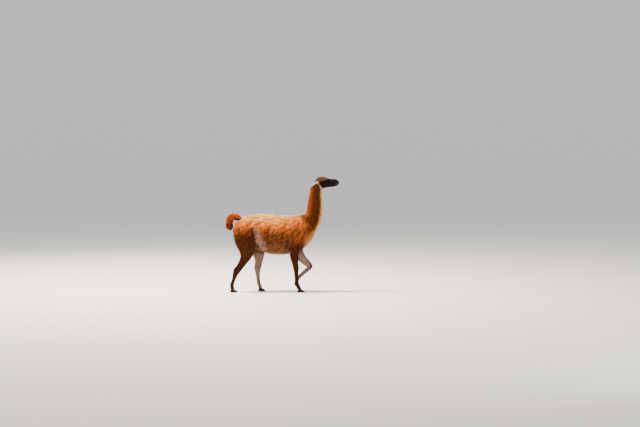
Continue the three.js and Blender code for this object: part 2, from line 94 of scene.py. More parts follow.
spineTable = np.array([
    [914, 1574, 905, 1537, 16, 0, 1.5],
    [904, 1595, 894, 1522, 31, 0.1, 1.5],
    [885, 1609, 877, 1513, 38, 0.05, 2],
    [858, 1616, 853, 1507, 40, 0, 2.5],
    [828, 1618, 825, 1503, 42, 0.02, 2.5],
    [795, 1620, 792, 1499, 47, 0.12, 3],
    [762, 1625, 758, 1496, 58, 0.25, 3],
    [728, 1641, 724, 1491, 69, 0.3, 3.5],
    [690, 1650, 694, 1484, 71, 0.22, 4.5],
    [652, 1650, 678, 1472, 68, 0.12, 6],
    [618, 1639, 671, 1456, 65, 0.06, 8],
    [587, 1611, 668, 1436, 63, 0.02, 9],
    [559, 1571, 667, 1412, 63, 0, 9],
    [532, 1523, 669, 1382, 64.5, 0, 9],
    [508, 1468, 673, 1345, 67, 0, 9],
    [491, 1412, 677, 1300, 70, 0, 9],
    [479, 1350, 680, 1245, 74, 0, 10],
    [469, 1285, 680, 1182, 79, 0, 10],
    [460, 1225, 675, 1110, 85, 0, 11],
    [453, 1172, 662, 1030, 93, 0, 12],
    [440, 1132, 633, 945, 103, 0, 13],
    [418, 1110, 590, 862, 116, 0, 15],
    [380, 1102, 530, 760, 131, 0, 16],
    [330, 1098, 455, 676, 150, 0, 17],
    [262, 1092, 372, 602, 172, 0, 18],
    [180, 1088, 280, 566, 192, 0, 18],
    [80, 1094, 170, 546, 206, 0, 18],
    [-40, 1103, 40, 538, 211, 0, 18],
    [-160, 1109, -100, 556, 205, 0, 18],
    [-280, 1105, -220, 598, 190, 0, 18],
    [-390, 1085, -330, 640, 172, 0, 18],
    [-484, 1047, -430, 676, 146, 0, 16],
    [-550, 990, -515, 732, 106, 0, 14],
    [-579, 912, -562, 820, 50, 0, 12],
])
rightForeTable = np.array([
    [366, 838, 270, 838, 20, -104, 12],
    [402, 780, 206, 780, 54, -108, 13],
    [390, 700, 192, 690, 60, -110, 12],
    [354, 625, 196, 615, 55, -108, 10],
    [337, 560, 210, 552, 47, -103, 8],
    [333, 480, 222, 476, 40, -99, 6],
    [335, 410, 246, 408, 35, -97, 5],
    [342, 362, 254, 362, 36, -96, 4.5],
    [342, 325, 262, 327, 34, -96, 4.5],
    [337, 280, 271, 284, 28, -96, 4.5],
    [338, 200, 279, 204, 25, -96, 4],
    [347, 128, 285, 134, 28, -96, 4],
    [361, 92, 301, 90, 28, -96, 3.5],
    [379, 56, 323, 44, 28, -96, 3],
    [384, 30, 338, 18, 21, -96, 3],
])
leftForeTable = np.array([
    [366, 838, 270, 838, 20, 104, 12],
    [402, 775, 206, 765, 54, 108, 13],
    [398, 692, 202, 660, 58, 109, 12],
    [386, 618, 226, 560, 52, 105, 10],
    [410, 548, 304, 474, 44, 101, 8],
    [452, 484, 370, 414, 38, 98, 6],
    [492, 436, 424, 370, 34, 96, 5],
    [528, 392, 460, 346, 35, 95, 4.5],
    [530, 338, 450, 340, 34, 95, 4.5],
    [486, 290, 430, 332, 28, 95, 4.5],
    [424, 240, 384, 284, 25, 95, 4],
    [366, 188, 324, 230, 25, 95, 4],
    [340, 154, 288, 188, 27, 95, 4],
    [332, 114, 274, 134, 27, 95, 3.5],
    [314, 80, 270, 92, 23, 95, 3],
])
rightHindTable = np.array([
    [-410, 985, -490, 975, 18, -96, 12],
    [-340, 930, -560, 912, 54, -104, 14],
    [-296, 868, -590, 846, 73, -110, 14],
    [-280, 785, -586, 765, 78, -112, 13],
    [-274, 692, -553, 668, 72, -110, 12],
    [-281, 612, -509, 582, 61, -107, 10],
    [-306, 545, -494, 515, 52, -104, 8],
    [-350, 474, -514, 446, 43, -102, 6],
    [-402, 410, -548, 384, 37, -100, 5.5],
    [-448, 350, -592, 330, 34, -99, 5],
    [-488, 296, -602, 284, 31, -98, 4.5],
    [-538, 230, -609, 218, 26, -98, 4],
    [-568, 160, -628, 150, 25, -98, 4],
    [-582, 112, -644, 106, 27, -98, 4],
    [-579, 74, -639, 62, 27, -98, 3.5],
    [-572, 36, -622, 20, 23, -98, 3],
])
leftHindTable = np.array([
    [-400, 985, -480, 975, 18, 96, 12],
    [-322, 934, -556, 908, 54, 104, 14],
    [-258, 876, -580, 840, 73, 110, 14],
    [-202, 800, -548, 745, 78, 113, 13],
    [-150, 702, -466, 642, 72, 110, 12],
    [-138, 612, -378, 570, 61, 107, 10],
    [-154, 540, -317, 512, 51, 104, 8],
    [-170, 466, -295, 450, 42, 102, 6],
    [-185, 404, -297, 398, 37, 100, 5.5],
    [-198, 346, -308, 352, 34, 99, 5],
    [-212, 294, -300, 302, 31, 98, 4.5],
    [-218, 236, -285, 240, 26, 98, 4],
    [-214, 158, -273, 160, 25, 98, 4],
    [-205, 108, -267, 112, 27, 98, 4],
    [-190, 70, -249, 66, 27, 98, 3.5],
    [-182, 34, -232, 20, 23, 98, 3],
])
# The middle line of the tail's hook and its radius with the hair on: [x, z, radius]
tailTable = np.array([
    [-472, 1004, 29],
    [-514, 1048, 30],
    [-562, 1075, 31],
    [-608, 1073, 31],
    [-642, 1045, 30],
    [-656, 1002, 28],
    [-651, 956, 32],
    [-641, 914, 22],
])
# One toe and its nail in a foot's own frame: x forward, the sole at z = 0
toeTable = np.array([
    [-38, 34, -36, 4, 9, 0, 1.5],
    [-24, 52, -24, -5, 17, 0, 1.5],
    [-2, 50, -2, -6, 19, 0, 1.5],
    [20, 39, 20, -6, 18, 0, 1.5],
    [38, 28, 36, -4, 14, 0, 1.5],
    [47, 18, 46, 3, 7, 0, 1],
])
nailTable = np.array([
    [22, 41, 26, 18, 8, 0, 0],
    [32, 37.5, 30, 12, 10.5, 0, 0],
    [41, 32, 38, 7, 11, 0, 0],
    [54, 21, 50, 2.5, 8, 0, 0],
    [61, 11, 59, 1.5, 4.5, 0, 0],
    [63.5, 7, 62.5, 2, 2, 0, 0],
])
feet = {
    "front_right": {"at": (360, -96, 0), "pitch": 0},
    "front_left": {"at": (290, 95, 96), "pitch": 72},
    "hind_right": {"at": (-598, -98, 0), "pitch": 0},
    "hind_left": {"at": (-206, 98, 0), "pitch": 0},
}
footSettings = {"toeSpread": 18, "toeSplay": 5, "toeRings": 16, "toeSides": 20}


# Tubes: every fleshy part is a grid of points, rings along it by columns round it

def tubeOf(table, isSpine=False):
    # Pulls each section's top, bottom and half width in by the depth of the coat
    over = np.column_stack([table[:, 0], np.zeros(len(table)), table[:, 1]])
    under = np.column_stack([table[:, 2], np.zeros(len(table)), table[:, 3]])
    depth = table[:, 6:7]
    inward = unit(under - over) * depth
    side = np.zeros(len(table)) if isSpine else table[:, 5]
    lean = table[:, 5] if isSpine else np.zeros(len(table))
    over[:, 1] = under[:, 1] = side
    width = np.column_stack([table[:, 4] - table[:, 6], lean])
    return {"over": over + inward, "under": under - inward, "width": width}


def tubePoints(tube, t, angle):
    # The middle of a section, plus its half height times cos(angle), plus its half width
    # times sin(angle) * (1 + lean * cos(angle)) to the side
    top = curveThrough(tube["over"], t)
    low = curveThrough(tube["under"], t)
    width = curveThrough(tube["width"], t)
    level = np.cos(angle)
    across = width[..., 0] * np.sin(angle) * (1 + width[..., 1] * level)
    points = (top + low) / 2 + (top - low) / 2 * level[..., None]
    points[..., 1] += across
    return points


def ringPlaces(tube, spacing):
    # The t of each ring, so that neighbours on the middle line are spacing(place) apart
    t = np.linspace(0, 1, 4000)
    middle = (curveThrough(tube["over"], t) + curveThrough(tube["under"], t)) / 2
    step = np.linalg.norm(np.diff(middle, axis=0), axis=1)
    rings = np.concatenate([[0], np.cumsum(step / spacing(middle[1:]))])
    return np.interp(np.linspace(0, rings[-1], int(rings[-1]) + 1), rings, t)


def ringStations(places, table, domeRings):
    # The table row that each ring lies at, as a number with a fraction, held over the domes
    return np.pad(places * (len(table) - 1), domeRings, mode="edge")


def domeEnds(grid, bulges, count=5):
    # Adds rings that close each end as a dome: the end ring shrinks by cos(a) towards its
    # centre and moves out by bulge * sin(a)
    angles = np.linspace(0, np.pi / 2, count + 2)[1:-1, None, None]

    def dome(end, inner, bulge):
        centre = end.mean(0)
        out = unit(centre - inner.mean(0))
        return centre + (end - centre) * np.cos(angles) + out * bulge * np.sin(angles)

    first = dome(grid[0], grid[1], bulges[0])[::-1]
    last = dome(grid[-1], grid[-2], bulges[1])
    return np.concatenate([first, grid, last])


def gridNormals(grid):
    # The cross product of the steps round and along the grid, turned outwards
    along = np.gradient(grid, axis=0)
    around = np.roll(grid, -1, 1) - np.roll(grid, 1, 1)
    normals = unit(np.cross(around, along))
    outward = np.sum(normals * (grid - grid.mean(1, keepdims=True)), -1).sum()
    return normals if outward > 0 else -normals


def gridFaces(rings, columns, rect):
    # Two triangles for each cell and a fan over each end, with the corners' places in rect,
    # which runs along the tube in u and round it in v
    i, j = np.meshgrid(np.arange(rings - 1), np.arange(columns), indexing="ij")
    a = i * columns + j
    b = i * columns + (j + 1) % columns
    cells = np.stack([a, b, b + columns, a, b + columns, a + columns], -1).reshape(-1, 3)
    cellU = np.stack([i, i, i + 1, i, i + 1, i + 1], -1).reshape(-1, 3) + 1
    cellV = np.stack([j, j + 1, j + 1, j, j + 1, j], -1).reshape(-1, 3)
    k = np.arange(columns)
    first = rings * columns
    near = np.column_stack([np.full(columns, first), (k + 1) % columns, k])
    far = np.column_stack([np.full(columns, first + 1), k, (k + 1) % columns])
    far[:, 1:] += (rings - 1) * columns
    nearU = np.tile([0, 1, 1], (columns, 1))
    farU = np.tile([rings + 1, rings, rings], (columns, 1))
    nearV = np.column_stack([k + 0.5, k + 1, k])
    farV = np.column_stack([k + 0.5, k, k + 1])
    faces = np.concatenate([cells, near, far])
    u = np.concatenate([cellU, nearU, farU]) / (rings + 1)
    v = np.concatenate([cellV, nearV, farV]) / columns
    corners = np.stack([rect[0] + u * (rect[2] - rect[0]), rect[1] + v * (rect[3] - rect[1])], -1)
    return faces, corners


def closedGrid(grid, rect=(0, 0, 1, 1)):
    # A grid as one closed body: its points, faces and corner places, facing outwards
    rings, columns = grid.shape[:2]
    points = np.concatenate([grid.reshape(-1, 3), [grid[0].mean(0), grid[-1].mean(0)]])
    faces, corners = gridFaces(rings, columns, rect)
    a, b, c = (points[faces[:, k]] for k in range(3))
    if np.sum(a * np.cross(b, c)) < 0:
        faces, corners = faces[:, ::-1], corners[:, ::-1]
    return points, faces, corners


def newPiece(name, points, faces, maps=None, colours=None):
    # A mesh object of triangles, smooth shaded, with its place in its mesh
    mesh = bpy.data.meshes.new(name)
    count = len(faces)
    metres = (np.asarray(points) + (originShift, 0, 0)) / 1000
    mesh.vertices.add(len(points))
    mesh.vertices.foreach_set("co", metres.astype(np.float32).ravel())
    mesh.loops.add(3 * count)
    mesh.loops.foreach_set("vertex_index", np.asarray(faces, np.int32).ravel())
    mesh.polygons.add(count)
    mesh.polygons.foreach_set("loop_start", np.arange(0, 3 * count, 3, dtype=np.int32))
    mesh.polygons.foreach_set("use_smooth", np.ones(count, bool))
    for mapName, corners in (maps or {}).items():
        layer = mesh.uv_layers.new(name=mapName)
        layer.uv.foreach_set("vector", np.asarray(corners, np.float32).ravel())
    if colours is not None:
        layer = mesh.attributes.new("coat", "FLOAT_COLOR", "POINT")
        shade = np.column_stack([colours, np.ones(len(colours))])
        layer.data.foreach_set("color", shade.astype(np.float32).ravel())
    mesh.update(calc_edges=True)
    mesh.validate()
    piece = bpy.data.objects.new(name, mesh)
    scene.collection.objects.link(piece)
    return piece


# The head: soft forms, lids, mouth, nostrils and the cleft of the lip

eyes = {"left": 1, "right": -1}
headSettings = {
    "eyeAt": (738, 52.5, 1588), "eyeLook": (0.36, 1, 0.06), "eyeRadius": 18.5,
    "lidThickness": 3, "lidSoftness": 3.0, "openLong": 18.2, "openHigh": 10.2, "lidPower": 1.65,
    "mouthCorner": 822, "mouthDepth": 5, "mouthReach": 1.9,
    "nostrilAt": (900, 23, 1583), "nostrilDepth": 7, "cleftDepth": 3,
}


def mouthLine(x):
    # The height of the line of the mouth, which sinks a little towards the nose
    return 1546 - 5 * smooth(825, 880, x) - 3 * smooth(860, 905, x)


def eyeFrame(side):
    # The eye's centre, and the ways that it looks, forward and up
    x, y, z = headSettings["eyeAt"]
    lookX, lookY, lookZ = headSettings["eyeLook"]
    look = unit(np.array([lookX, side * lookY, lookZ]))
    forward = unit(np.array([1, 0, 0]) - look * look[0])
    up = np.cross(forward, look) * side
    return np.array([x, side * y, z]), look, forward, up


def eyeOpening(points, side):
    # How far out a point lies in the almond of the lids: 1 on its edge, less inside, from
    # (|a / long|^p + |b / high|^p)^(1 / p), and a large number on the other side of the head
    centre, look, forward, up = eyeFrame(side)
    local = points - centre
    power = headSettings["lidPower"]
    a = local @ forward
    b = local @ up
    share = (np.abs(a / headSettings["openLong"]) ** power
             + np.abs((b + 0.02 * a) / headSettings["openHigh"]) ** power) ** (1 / power)
    return np.where(local @ look > -4, share, 9.0), a, b, local @ look


def softForms(points):
    # Brow, hollow, cheek, jaw, nose wing and lips as soft bumps that push sideways
    x, y, z = np.moveaxis(points, -1, 0)

    def near(centreX, centreZ, reach):
        return bell(np.hypot(x - centreX, z - centreZ), reach)

    forms = (5 * near(738, 1617, 20) - 5 * near(775, 1583, 22) + 4 * near(745, 1556, 22)
             + 4 * near(672, 1530, 34) + 4 * near(894, 1583, 13))
    upperLip = 4.5 * bell(z - mouthLine(x) - 10, 9)
    lowerLip = 4 * bell(z - mouthLine(x) + 9, 8)
    corner = headSettings["mouthCorner"]
    out = forms + (upperLip + lowerLip) * smooth(corner - 12, corner + 30, x)
    moved = points.copy()
    moved[..., 1] += np.sign(y) * out * smooth(0, 14, np.abs(y))
    return moved


def openLids(points, side):
    # Draws the grid together along the almond's edge, raises a lid of even thickness over the
    # eyeball round it, and drops what lies inside it behind the eyeball
    centre, look, forward, up = eyeFrame(side)
    share, a, b, depth = eyeOpening(points, side)
    radius = headSettings["eyeRadius"]
    near = (share < 4) & (np.hypot(a, b) < 2.4 * radius)
    drawn = 1 + (share - 1) * (1 - 0.8 * bell(share - 1, 0.2))
    scale = np.where(share > 0.02, drawn / np.maximum(share, 0.02), 1)
    a, b = a * scale, b * scale
    across = np.hypot(a, b)
    lid = np.sqrt(np.maximum((radius + headSettings["lidThickness"]) ** 2 - across ** 2, 0))
    foldAbove = 1.3 * bell(drawn - 1.75, 0.16) * smooth(0, 5, b)
    foldBelow = 0.8 * bell(drawn - 2, 0.2) * smooth(0, -5, b)
    fold = foldAbove + foldBelow
    soft = headSettings["lidSoftness"]
    outside = np.logaddexp(depth / soft, lid / soft) * soft - fold
    inside = np.sqrt(np.maximum((radius - 2.5) ** 2 - across ** 2, 0))
    raised = outside + (inside - outside) * smooth(1.0, 0.86, drawn)
    moved = centre + a[..., None] * forward + b[..., None] * up + raised[..., None] * look
    return np.where(near[..., None], moved, points)


def nostrilPlace(points, side):
    # A point's place along and across the slanted slit of a nostril
    x, y, z = headSettings["nostrilAt"]
    local = points - np.array([x, side * y, z])
    slit = unit(np.array([0.72, -side * 0.25, 0.62]))
    across = unit(np.cross(slit, [0.55, side * 0.83, 0]))
    return local @ slit, local @ across, np.linalg.norm(local, axis=-1)


def pressIn(points):
    # Presses the mouth's line, the nostrils and the cleft of the upper lip in along the normal
    normals = gridNormals(points)
    x, y, z = np.moveaxis(points, -1, 0)
    corner = headSettings["mouthCorner"]
    reach = headSettings["mouthReach"]
    mouth = headSettings["mouthDepth"] * bell(z - mouthLine(x), reach) * smooth(corner - 4, corner + 16, x)
    cleft = headSettings["cleftDepth"] * bell(y, 2.2) * smooth(888, 900, x) * smooth(1543, 1550, z)
    cleft *= smooth(1586, 1574, z)
    press = mouth + cleft
    for side in eyes.values():
        along, across, away = nostrilPlace(points, side)
        curl = across - 0.02 * along ** 2
        press += headSettings["nostrilDepth"] * bell(along, 8.5) ** 2 * bell(curl, 2.4) * (away < 24)
        press -= 1.4 * bell(np.hypot(along / 1.6, curl) - 6, 2.2) * (away < 24)
    return points - normals * press[..., None]


# Grids of every part

foldSettings = {
    "groinDepth": 13, "groinReach": 30, "groinTop": 865, "groinAhead": 30,
    "elbowDepth": 12, "elbowReach": 17, "elbowBehind": 10,
}


def edgeAt(z, y, rightTable, leftTable, columns):
    # Where the edge of a leg lies along X at height z, on the side of the animal that y is on,
    # from the rows of its table below the first
    x = []
    for table in (rightTable, leftTable):
        rows = table[6:0:-1]
        x.append(np.interp(z, rows[:, columns[1]], rows[:, columns[0]]))
    return np.where(y < 0, x[0], x[1])


def thighFront(z, y):
    # The front edge of the thigh, straight up above the top of its bulge
    return edgeAt(np.minimum(z, foldSettings["groinTop"]), y, rightHindTable, leftHindTable, (0, 1))


def elbowRear(z, y):
    # The rear edge of the upper foreleg
    return edgeAt(z, y, rightForeTable, leftForeTable, (2, 3))


def pressFolds(points):
    # The hollow in front of the thigh and the crease behind the elbow, pressed in sideways
    x, y, z = np.moveaxis(points, -1, 0)
    groin = bell(x - thighFront(z, y) - foldSettings["groinAhead"], foldSettings["groinReach"])
    groin *= foldSettings["groinDepth"] * smooth(960, 880, z) * smooth(560, 640, z)
    elbow = bell(x - elbowRear(z, y) + foldSettings["elbowBehind"], foldSettings["elbowReach"])
    elbow *= foldSettings["elbowDepth"] * smooth(810, 740, z) * smooth(560, 630, z)
    pressed = points.copy()
    pressed[..., 1] -= np.sign(y) * (groin + elbow) * smooth(60, 120, np.abs(y))
    return pressed


spineSettings = {
    "columns": 176, "sideCrowding": 0.2, "headStep": 2, "noseStep": 1.5, "eyeStep": 1.4,
    "neckStep": 7, "trunkStep": 10, "noseBulge": 7, "rumpBulge": 16, "domeRings": 8,
    "headFrom": 600, "headFade": 12,
}


def spineStep(place):
    # Ring spacing along the spine: finest at the nose and eye, then head, neck and trunk
    x, z = place[:, 0], place[:, 2]
    headStep, eyeStep = spineSettings["headStep"], spineSettings["eyeStep"]
    neckStep, trunkStep = spineSettings["neckStep"], spineSettings["trunkStep"]
    head = np.where(x > 880, spineSettings["noseStep"], headStep)
    head = head - (headStep - eyeStep) * bell(x - headSettings["eyeAt"][0], 26)
    neck = neckStep + (trunkStep - neckStep) * smooth(1150, 950, z)
    return head + (neck - head) * smooth(1575, 1500, z)


def spineGrid():
    # The tube of nose, head, neck and trunk. Its columns crowd to the sides by sin(2 * turn),
    # and the forms of the face fade out over the last rings of the head.
    tube = tubeOf(spineTable, isSpine=True)
    turn = np.linspace(-np.pi, np.pi, spineSettings["columns"], endpoint=False)
    angle = turn + spineSettings["sideCrowding"] * np.sin(2 * turn)
    places = ringPlaces(tube, spineStep)
    grid = tubePoints(tube, places[:, None], angle[None, :])
    domeRings = spineSettings["domeRings"]
    grid = domeEnds(grid, (spineSettings["noseBulge"], spineSettings["rumpBulge"]), domeRings)
    head = int(np.argmax(grid[:, :, 0].mean(1) < spineSettings["headFrom"]))
    formed = softForms(grid[:head])
    for side in eyes.values():
        formed = openLids(formed, side)
    fade = smooth(head, head - spineSettings["headFade"], np.arange(head))
    grid[:head] = blend(grid[:head], pressIn(formed), np.repeat(fade[:, None], grid.shape[1], 1))
    grid[head:] = pressFolds(grid[head:])
    return grid, ringStations(places, spineTable, domeRings)


limbSettings = {"columns": 40, "footStep": 4, "hipStep": 8, "bulges": (6, 8), "domeRings": 3}


def limbStep(place):
    # Ring spacing along a leg, finer towards the foot
    step = limbSettings["footStep"]
    return step + (limbSettings["hipStep"] - step) * smooth(200, 700, place[:, 2])


def limbGrid(table):
    # The tube of a leg's table, closed by domes
    turn = np.linspace(-np.pi, np.pi, limbSettings["columns"], endpoint=False)
    tube = tubeOf(table)
    places = ringPlaces(tube, limbStep)
    plain = tubePoints(tube, places[:, None], turn[None, :])
    grid = domeEnds(plain, limbSettings["bulges"], limbSettings["domeRings"])
    return grid, ringStations(places, table, limbSettings["domeRings"])


tailSettings = {"hair": 11, "rings": 60, "columns": 28, "bulges": (6, 8), "domeRings": 3}


def tailGrid():
    # A round tube on the tail's middle line: the line plus the radius times cos(turn) square
    # to it in the upright plane, and times sin(turn) to the side
    t = np.linspace(0, 1, tailSettings["rings"])[:, None]
    line = np.column_stack([tailTable[:, 0], np.zeros(len(tailTable)), tailTable[:, 1]])
    middle = curveThrough(line, t)
    along = unit(np.gradient(middle[:, 0], axis=0))[:, None]
    square = np.stack([along[..., 2], 0 * along[..., 2], -along[..., 0]], -1)
    radius = curveThrough(tailTable[:, 2:3], t) - tailSettings["hair"] * smooth(1.35, 0.8, t)[..., None]
    turn = np.linspace(-np.pi, np.pi, tailSettings["columns"], endpoint=False)[None, :, None]
    grid = middle + radius * (np.cos(turn) * square + np.sin(turn) * np.array([0, 1, 0]))
    domeRings = tailSettings["domeRings"]
    return domeEnds(grid, tailSettings["bulges"], domeRings), ringStations(t[:, 0], tailTable, domeRings)


# Where each ear's root and tip lie, the left one carried a little higher
earEnds = {1: ((610, 46, 1584), (494, 86, 1478)), -1: ((613, -47, 1572), (491, -80, 1456))}
earSettings = {"width": 50, "rings": 44, "arc": 18, "bend": 7, "rootWall": 5.6, "tipWall": 2.6}


def earGrid(side):
    # A spear-shaped cup: at each share of its length an outer arc of half width h and depth
    # 0.62 h, and an inner arc one wall below it, bent back by a sine over its length
    root, tip = (np.array(end) for end in earEnds[side])
    length = np.linalg.norm(tip - root)
    along = (tip - root) / length
    back = np.array([-0.2, -side * 0.8, 0.6])
    back = unit(back - along * (back @ along))
    wide = np.cross(along, back)
    share = np.linspace(0, 1, earSettings["rings"])[:, None]
    swell = np.sin(np.pi * (0.16 + 0.81 * share ** 0.9))
    half = 2 + (earSettings["width"] / 2 - 3) * swell ** 0.9
    depth = half * 0.62
    wall = earSettings["tipWall"] + (earSettings["rootWall"] - earSettings["tipWall"]) * (1 - share)
    cup = smooth(0.1, 0.35, share)
    bend = earSettings["bend"] * np.sin(np.pi * share)
    arc = earSettings["arc"]
    outerAngle = np.pi * (np.arange(arc + 1) / arc - 0.5)[None, :]
    innerAngle = outerAngle[:, -2:0:-1]
    outerRise = depth * np.cos(outerAngle)
    innerRise = (depth - wall) * np.cos(innerAngle) * cup - half * 0.25 * (1 - cup)
    reach = np.concatenate([half * np.sin(outerAngle), (half - wall * 0.4) * np.sin(innerAngle)], 1)
    rise = np.concatenate([outerRise, innerRise], 1) + bend
    middle = root + along * length * share
    grid = middle[:, None] + reach[..., None] * wide + rise[..., None] * back
    return domeEnds(grid, (1, 1), count=2), np.pad(share[:, 0], 2, mode="edge")


def toeGrids(name):
    # Two toes, each turned out by the splay, set to its side, then pitched and set in place
    foot = feet[name]
    tube = tubeOf(toeTable, isSpine=True)
    turn = np.linspace(-np.pi, np.pi, footSettings["toeSides"], endpoint=False)[None, :]
    t = np.linspace(0, 1, footSettings["toeRings"])[:, None]
    plain = domeEnds(tubePoints(tube, t, turn), (4, 3), count=3)
    plain[..., 2] = np.maximum(plain[..., 2], 0.4)
    return [(inFoot(plain, foot, side), ringStations(t[:, 0], toeTable, 3)) for side in (1, -1)]


def inFoot(points, foot, side):
    # From a toe's own frame to the animal's: splay about Z, shift to the side, pitch about Y
    splay = np.radians(side * footSettings["toeSplay"])
    x = points[..., 0] * np.cos(splay) - points[..., 1] * np.sin(splay)
    y = points[..., 0] * np.sin(splay) + points[..., 1] * np.cos(splay)
    y = y + side * footSettings["toeSpread"]
    pitch = np.radians(foot["pitch"])
    z = points[..., 2]
    forward = x * np.cos(pitch) + z * np.sin(pitch)
    upward = z * np.cos(pitch) - x * np.sin(pitch)
    return np.stack([forward, y, upward], -1) + np.array(foot["at"])


# The parts: each one's grid, the station of each ring, its normals, the steps of the grid in
# millimetres, and its rectangle of the unwrap, [u0, v0, u1, v1]
parts = {}


def addPart(name, shape, rect):
    # Steps along the grid are central differences of its rings, and steps round it of its columns
    grid, station = shape
    around = (np.roll(grid, -1, 1) - np.roll(grid, 1, 1)) / 2
    along = np.gradient(grid, axis=0)
    parts[name] = {
        "grid": grid, "station": station, "rect": rect, "normals": gridNormals(grid), "along": along,
        "ringStep": np.linalg.norm(along, axis=-1, keepdims=True),
        "columnStep": np.linalg.norm(around, axis=-1, keepdims=True),
    }


legTables = {
    "front_right": rightForeTable, "front_left": leftForeTable,
    "hind_right": rightHindTable, "hind_left": leftHindTable,
}
addPart("spine", spineGrid(), (0.005, 0.01, 0.655, 0.99))
for legIndex, (legName, legTable) in enumerate(legTables.items()):
    mapLow = 0.01 + 0.19 * legIndex
    addPart(f"limb_{legName}", limbGrid(legTable), (0.67, mapLow, 0.99, mapLow + 0.17))
addPart("tail", tailGrid(), (0.67, 0.77, 0.82, 0.87))
addPart("ear_left", earGrid(1), (0.84, 0.77, 0.91, 0.87))
addPart("ear_right", earGrid(-1), (0.92, 0.77, 0.99, 0.87))
for footIndex, footName in enumerate(feet):
    for toeIndex, toeShape in enumerate(toeGrids(footName)):
        mapLeft = 0.67 + 0.04 * (2 * footIndex + toeIndex)
        addPart(f"toe_{footName}_{toeIndex + 1}", toeShape, (mapLeft, 0.89, mapLeft + 0.03, 0.98))
partNames = list(parts)
print("grids made:", sum(part["grid"][..., 0].size for part in parts.values()), "points")


# One skin: the union of every part, with its creases smoothed out

def unionOf(pieces):
    # Joins closed bodies into one with boolean modifiers and takes the result as a mesh
    body, others = pieces[0], pieces[1:]
    for other in others:
        modifier = body.modifiers.new(other.name, "BOOLEAN")
        modifier.operation = "UNION"
        modifier.object = other
        modifier.solver = "MANIFOLD"
    bpy.context.view_layer.update()
    evaluated = body.evaluated_get(bpy.context.evaluated_depsgraph_get())
    mesh = bpy.data.meshes.new_from_object(evaluated)
    for piece in pieces:
        bpy.data.objects.remove(piece)
    return mesh


def readMesh(mesh):
    # A mesh's points, its triangles and the map places of their corners, as arrays
    mesh.calc_loop_triangles()
    points = np.empty(3 * len(mesh.vertices), np.float32)
    mesh.vertices.foreach_get("co", points)
    count = len(mesh.loop_triangles)
    faces = np.empty(3 * count, np.int32)
    loops = np.empty(3 * count, np.int32)
    mesh.loop_triangles.foreach_get("vertices", faces)
    mesh.loop_triangles.foreach_get("loops", loops)
    corners = np.empty(2 * len(mesh.loops), np.float32)
    mesh.uv_layers[0].uv.foreach_get("vector", corners)
    points = points.reshape(-1, 3).astype(float) * 1000 - (originShift, 0, 0)
    return points, faces.reshape(-1, 3), corners.reshape(-1, 2)[loops].reshape(-1, 3, 2).astype(float)


def partOf(corners):
    # The index of the part whose rectangle holds the middle of each face's corners
    middle = corners.mean(1)
    owner = np.zeros(len(middle), int)
    for index, name in enumerate(partNames):
        u0, v0, u1, v1 = parts[name]["rect"]
        inside = ((middle[:, 0] > u0 - 0.004) & (middle[:, 0] < u1 + 0.004)
                  & (middle[:, 1] > v0 - 0.008) & (middle[:, 1] < v1 + 0.008))
        owner[inside] = index
    return owner


def smoothCreases(points, faces, owner, rings=5, rounds=24):
    # Near the line where two parts meet, each point moves half way to the mean of its
    # neighbours, many times over, and less so the further it lies from the line
    lowest = np.full(len(points), 999)
    highest = np.full(len(points), -1)
    np.minimum.at(lowest, faces.ravel(), np.repeat(owner, 3))
    np.maximum.at(highest, faces.ravel(), np.repeat(owner, 3))
    edges = np.concatenate([faces[:, [0, 1]], faces[:, [1, 2]], faces[:, [2, 0]]])
    edges = np.concatenate([edges, edges[:, ::-1]])
    degree = np.maximum(np.bincount(edges[:, 0], minlength=len(points)), 1)
    weight = (lowest != highest).astype(float)
    for ring in range(rings):
        reached = np.zeros(len(points))
        np.maximum.at(reached, edges[:, 0], weight[edges[:, 1]])
        weight = np.maximum(weight, reached * (1 - (ring + 1) / (rings + 1)))
    points = points.copy()
    for _ in range(rounds):
        near = points[edges[:, 1]]
        total = np.column_stack([np.bincount(edges[:, 0], near[:, k], len(points)) for k in range(3)])
        points += (total / degree[:, None] - points) * (0.5 * weight)[:, None]
    return points


bodies = []
for partName in partNames:
    partPoints, partFaces, partCorners = closedGrid(parts[partName]["grid"], parts[partName]["rect"])
    bodies.append(newPiece(partName, partPoints, partFaces, {"OFBake": partCorners}))
skinMesh = unionOf(bodies)
skinPoints, skinFaces, skinCorners = readMesh(skinMesh)
bpy.data.meshes.remove(skinMesh)
skinOwner = partOf(skinCorners)
skinPoints = smoothCreases(skinPoints, skinFaces, skinOwner)
print("skin joined:", len(skinFaces), "triangles")


# The coat's colours, the same on the skin and on the tufts

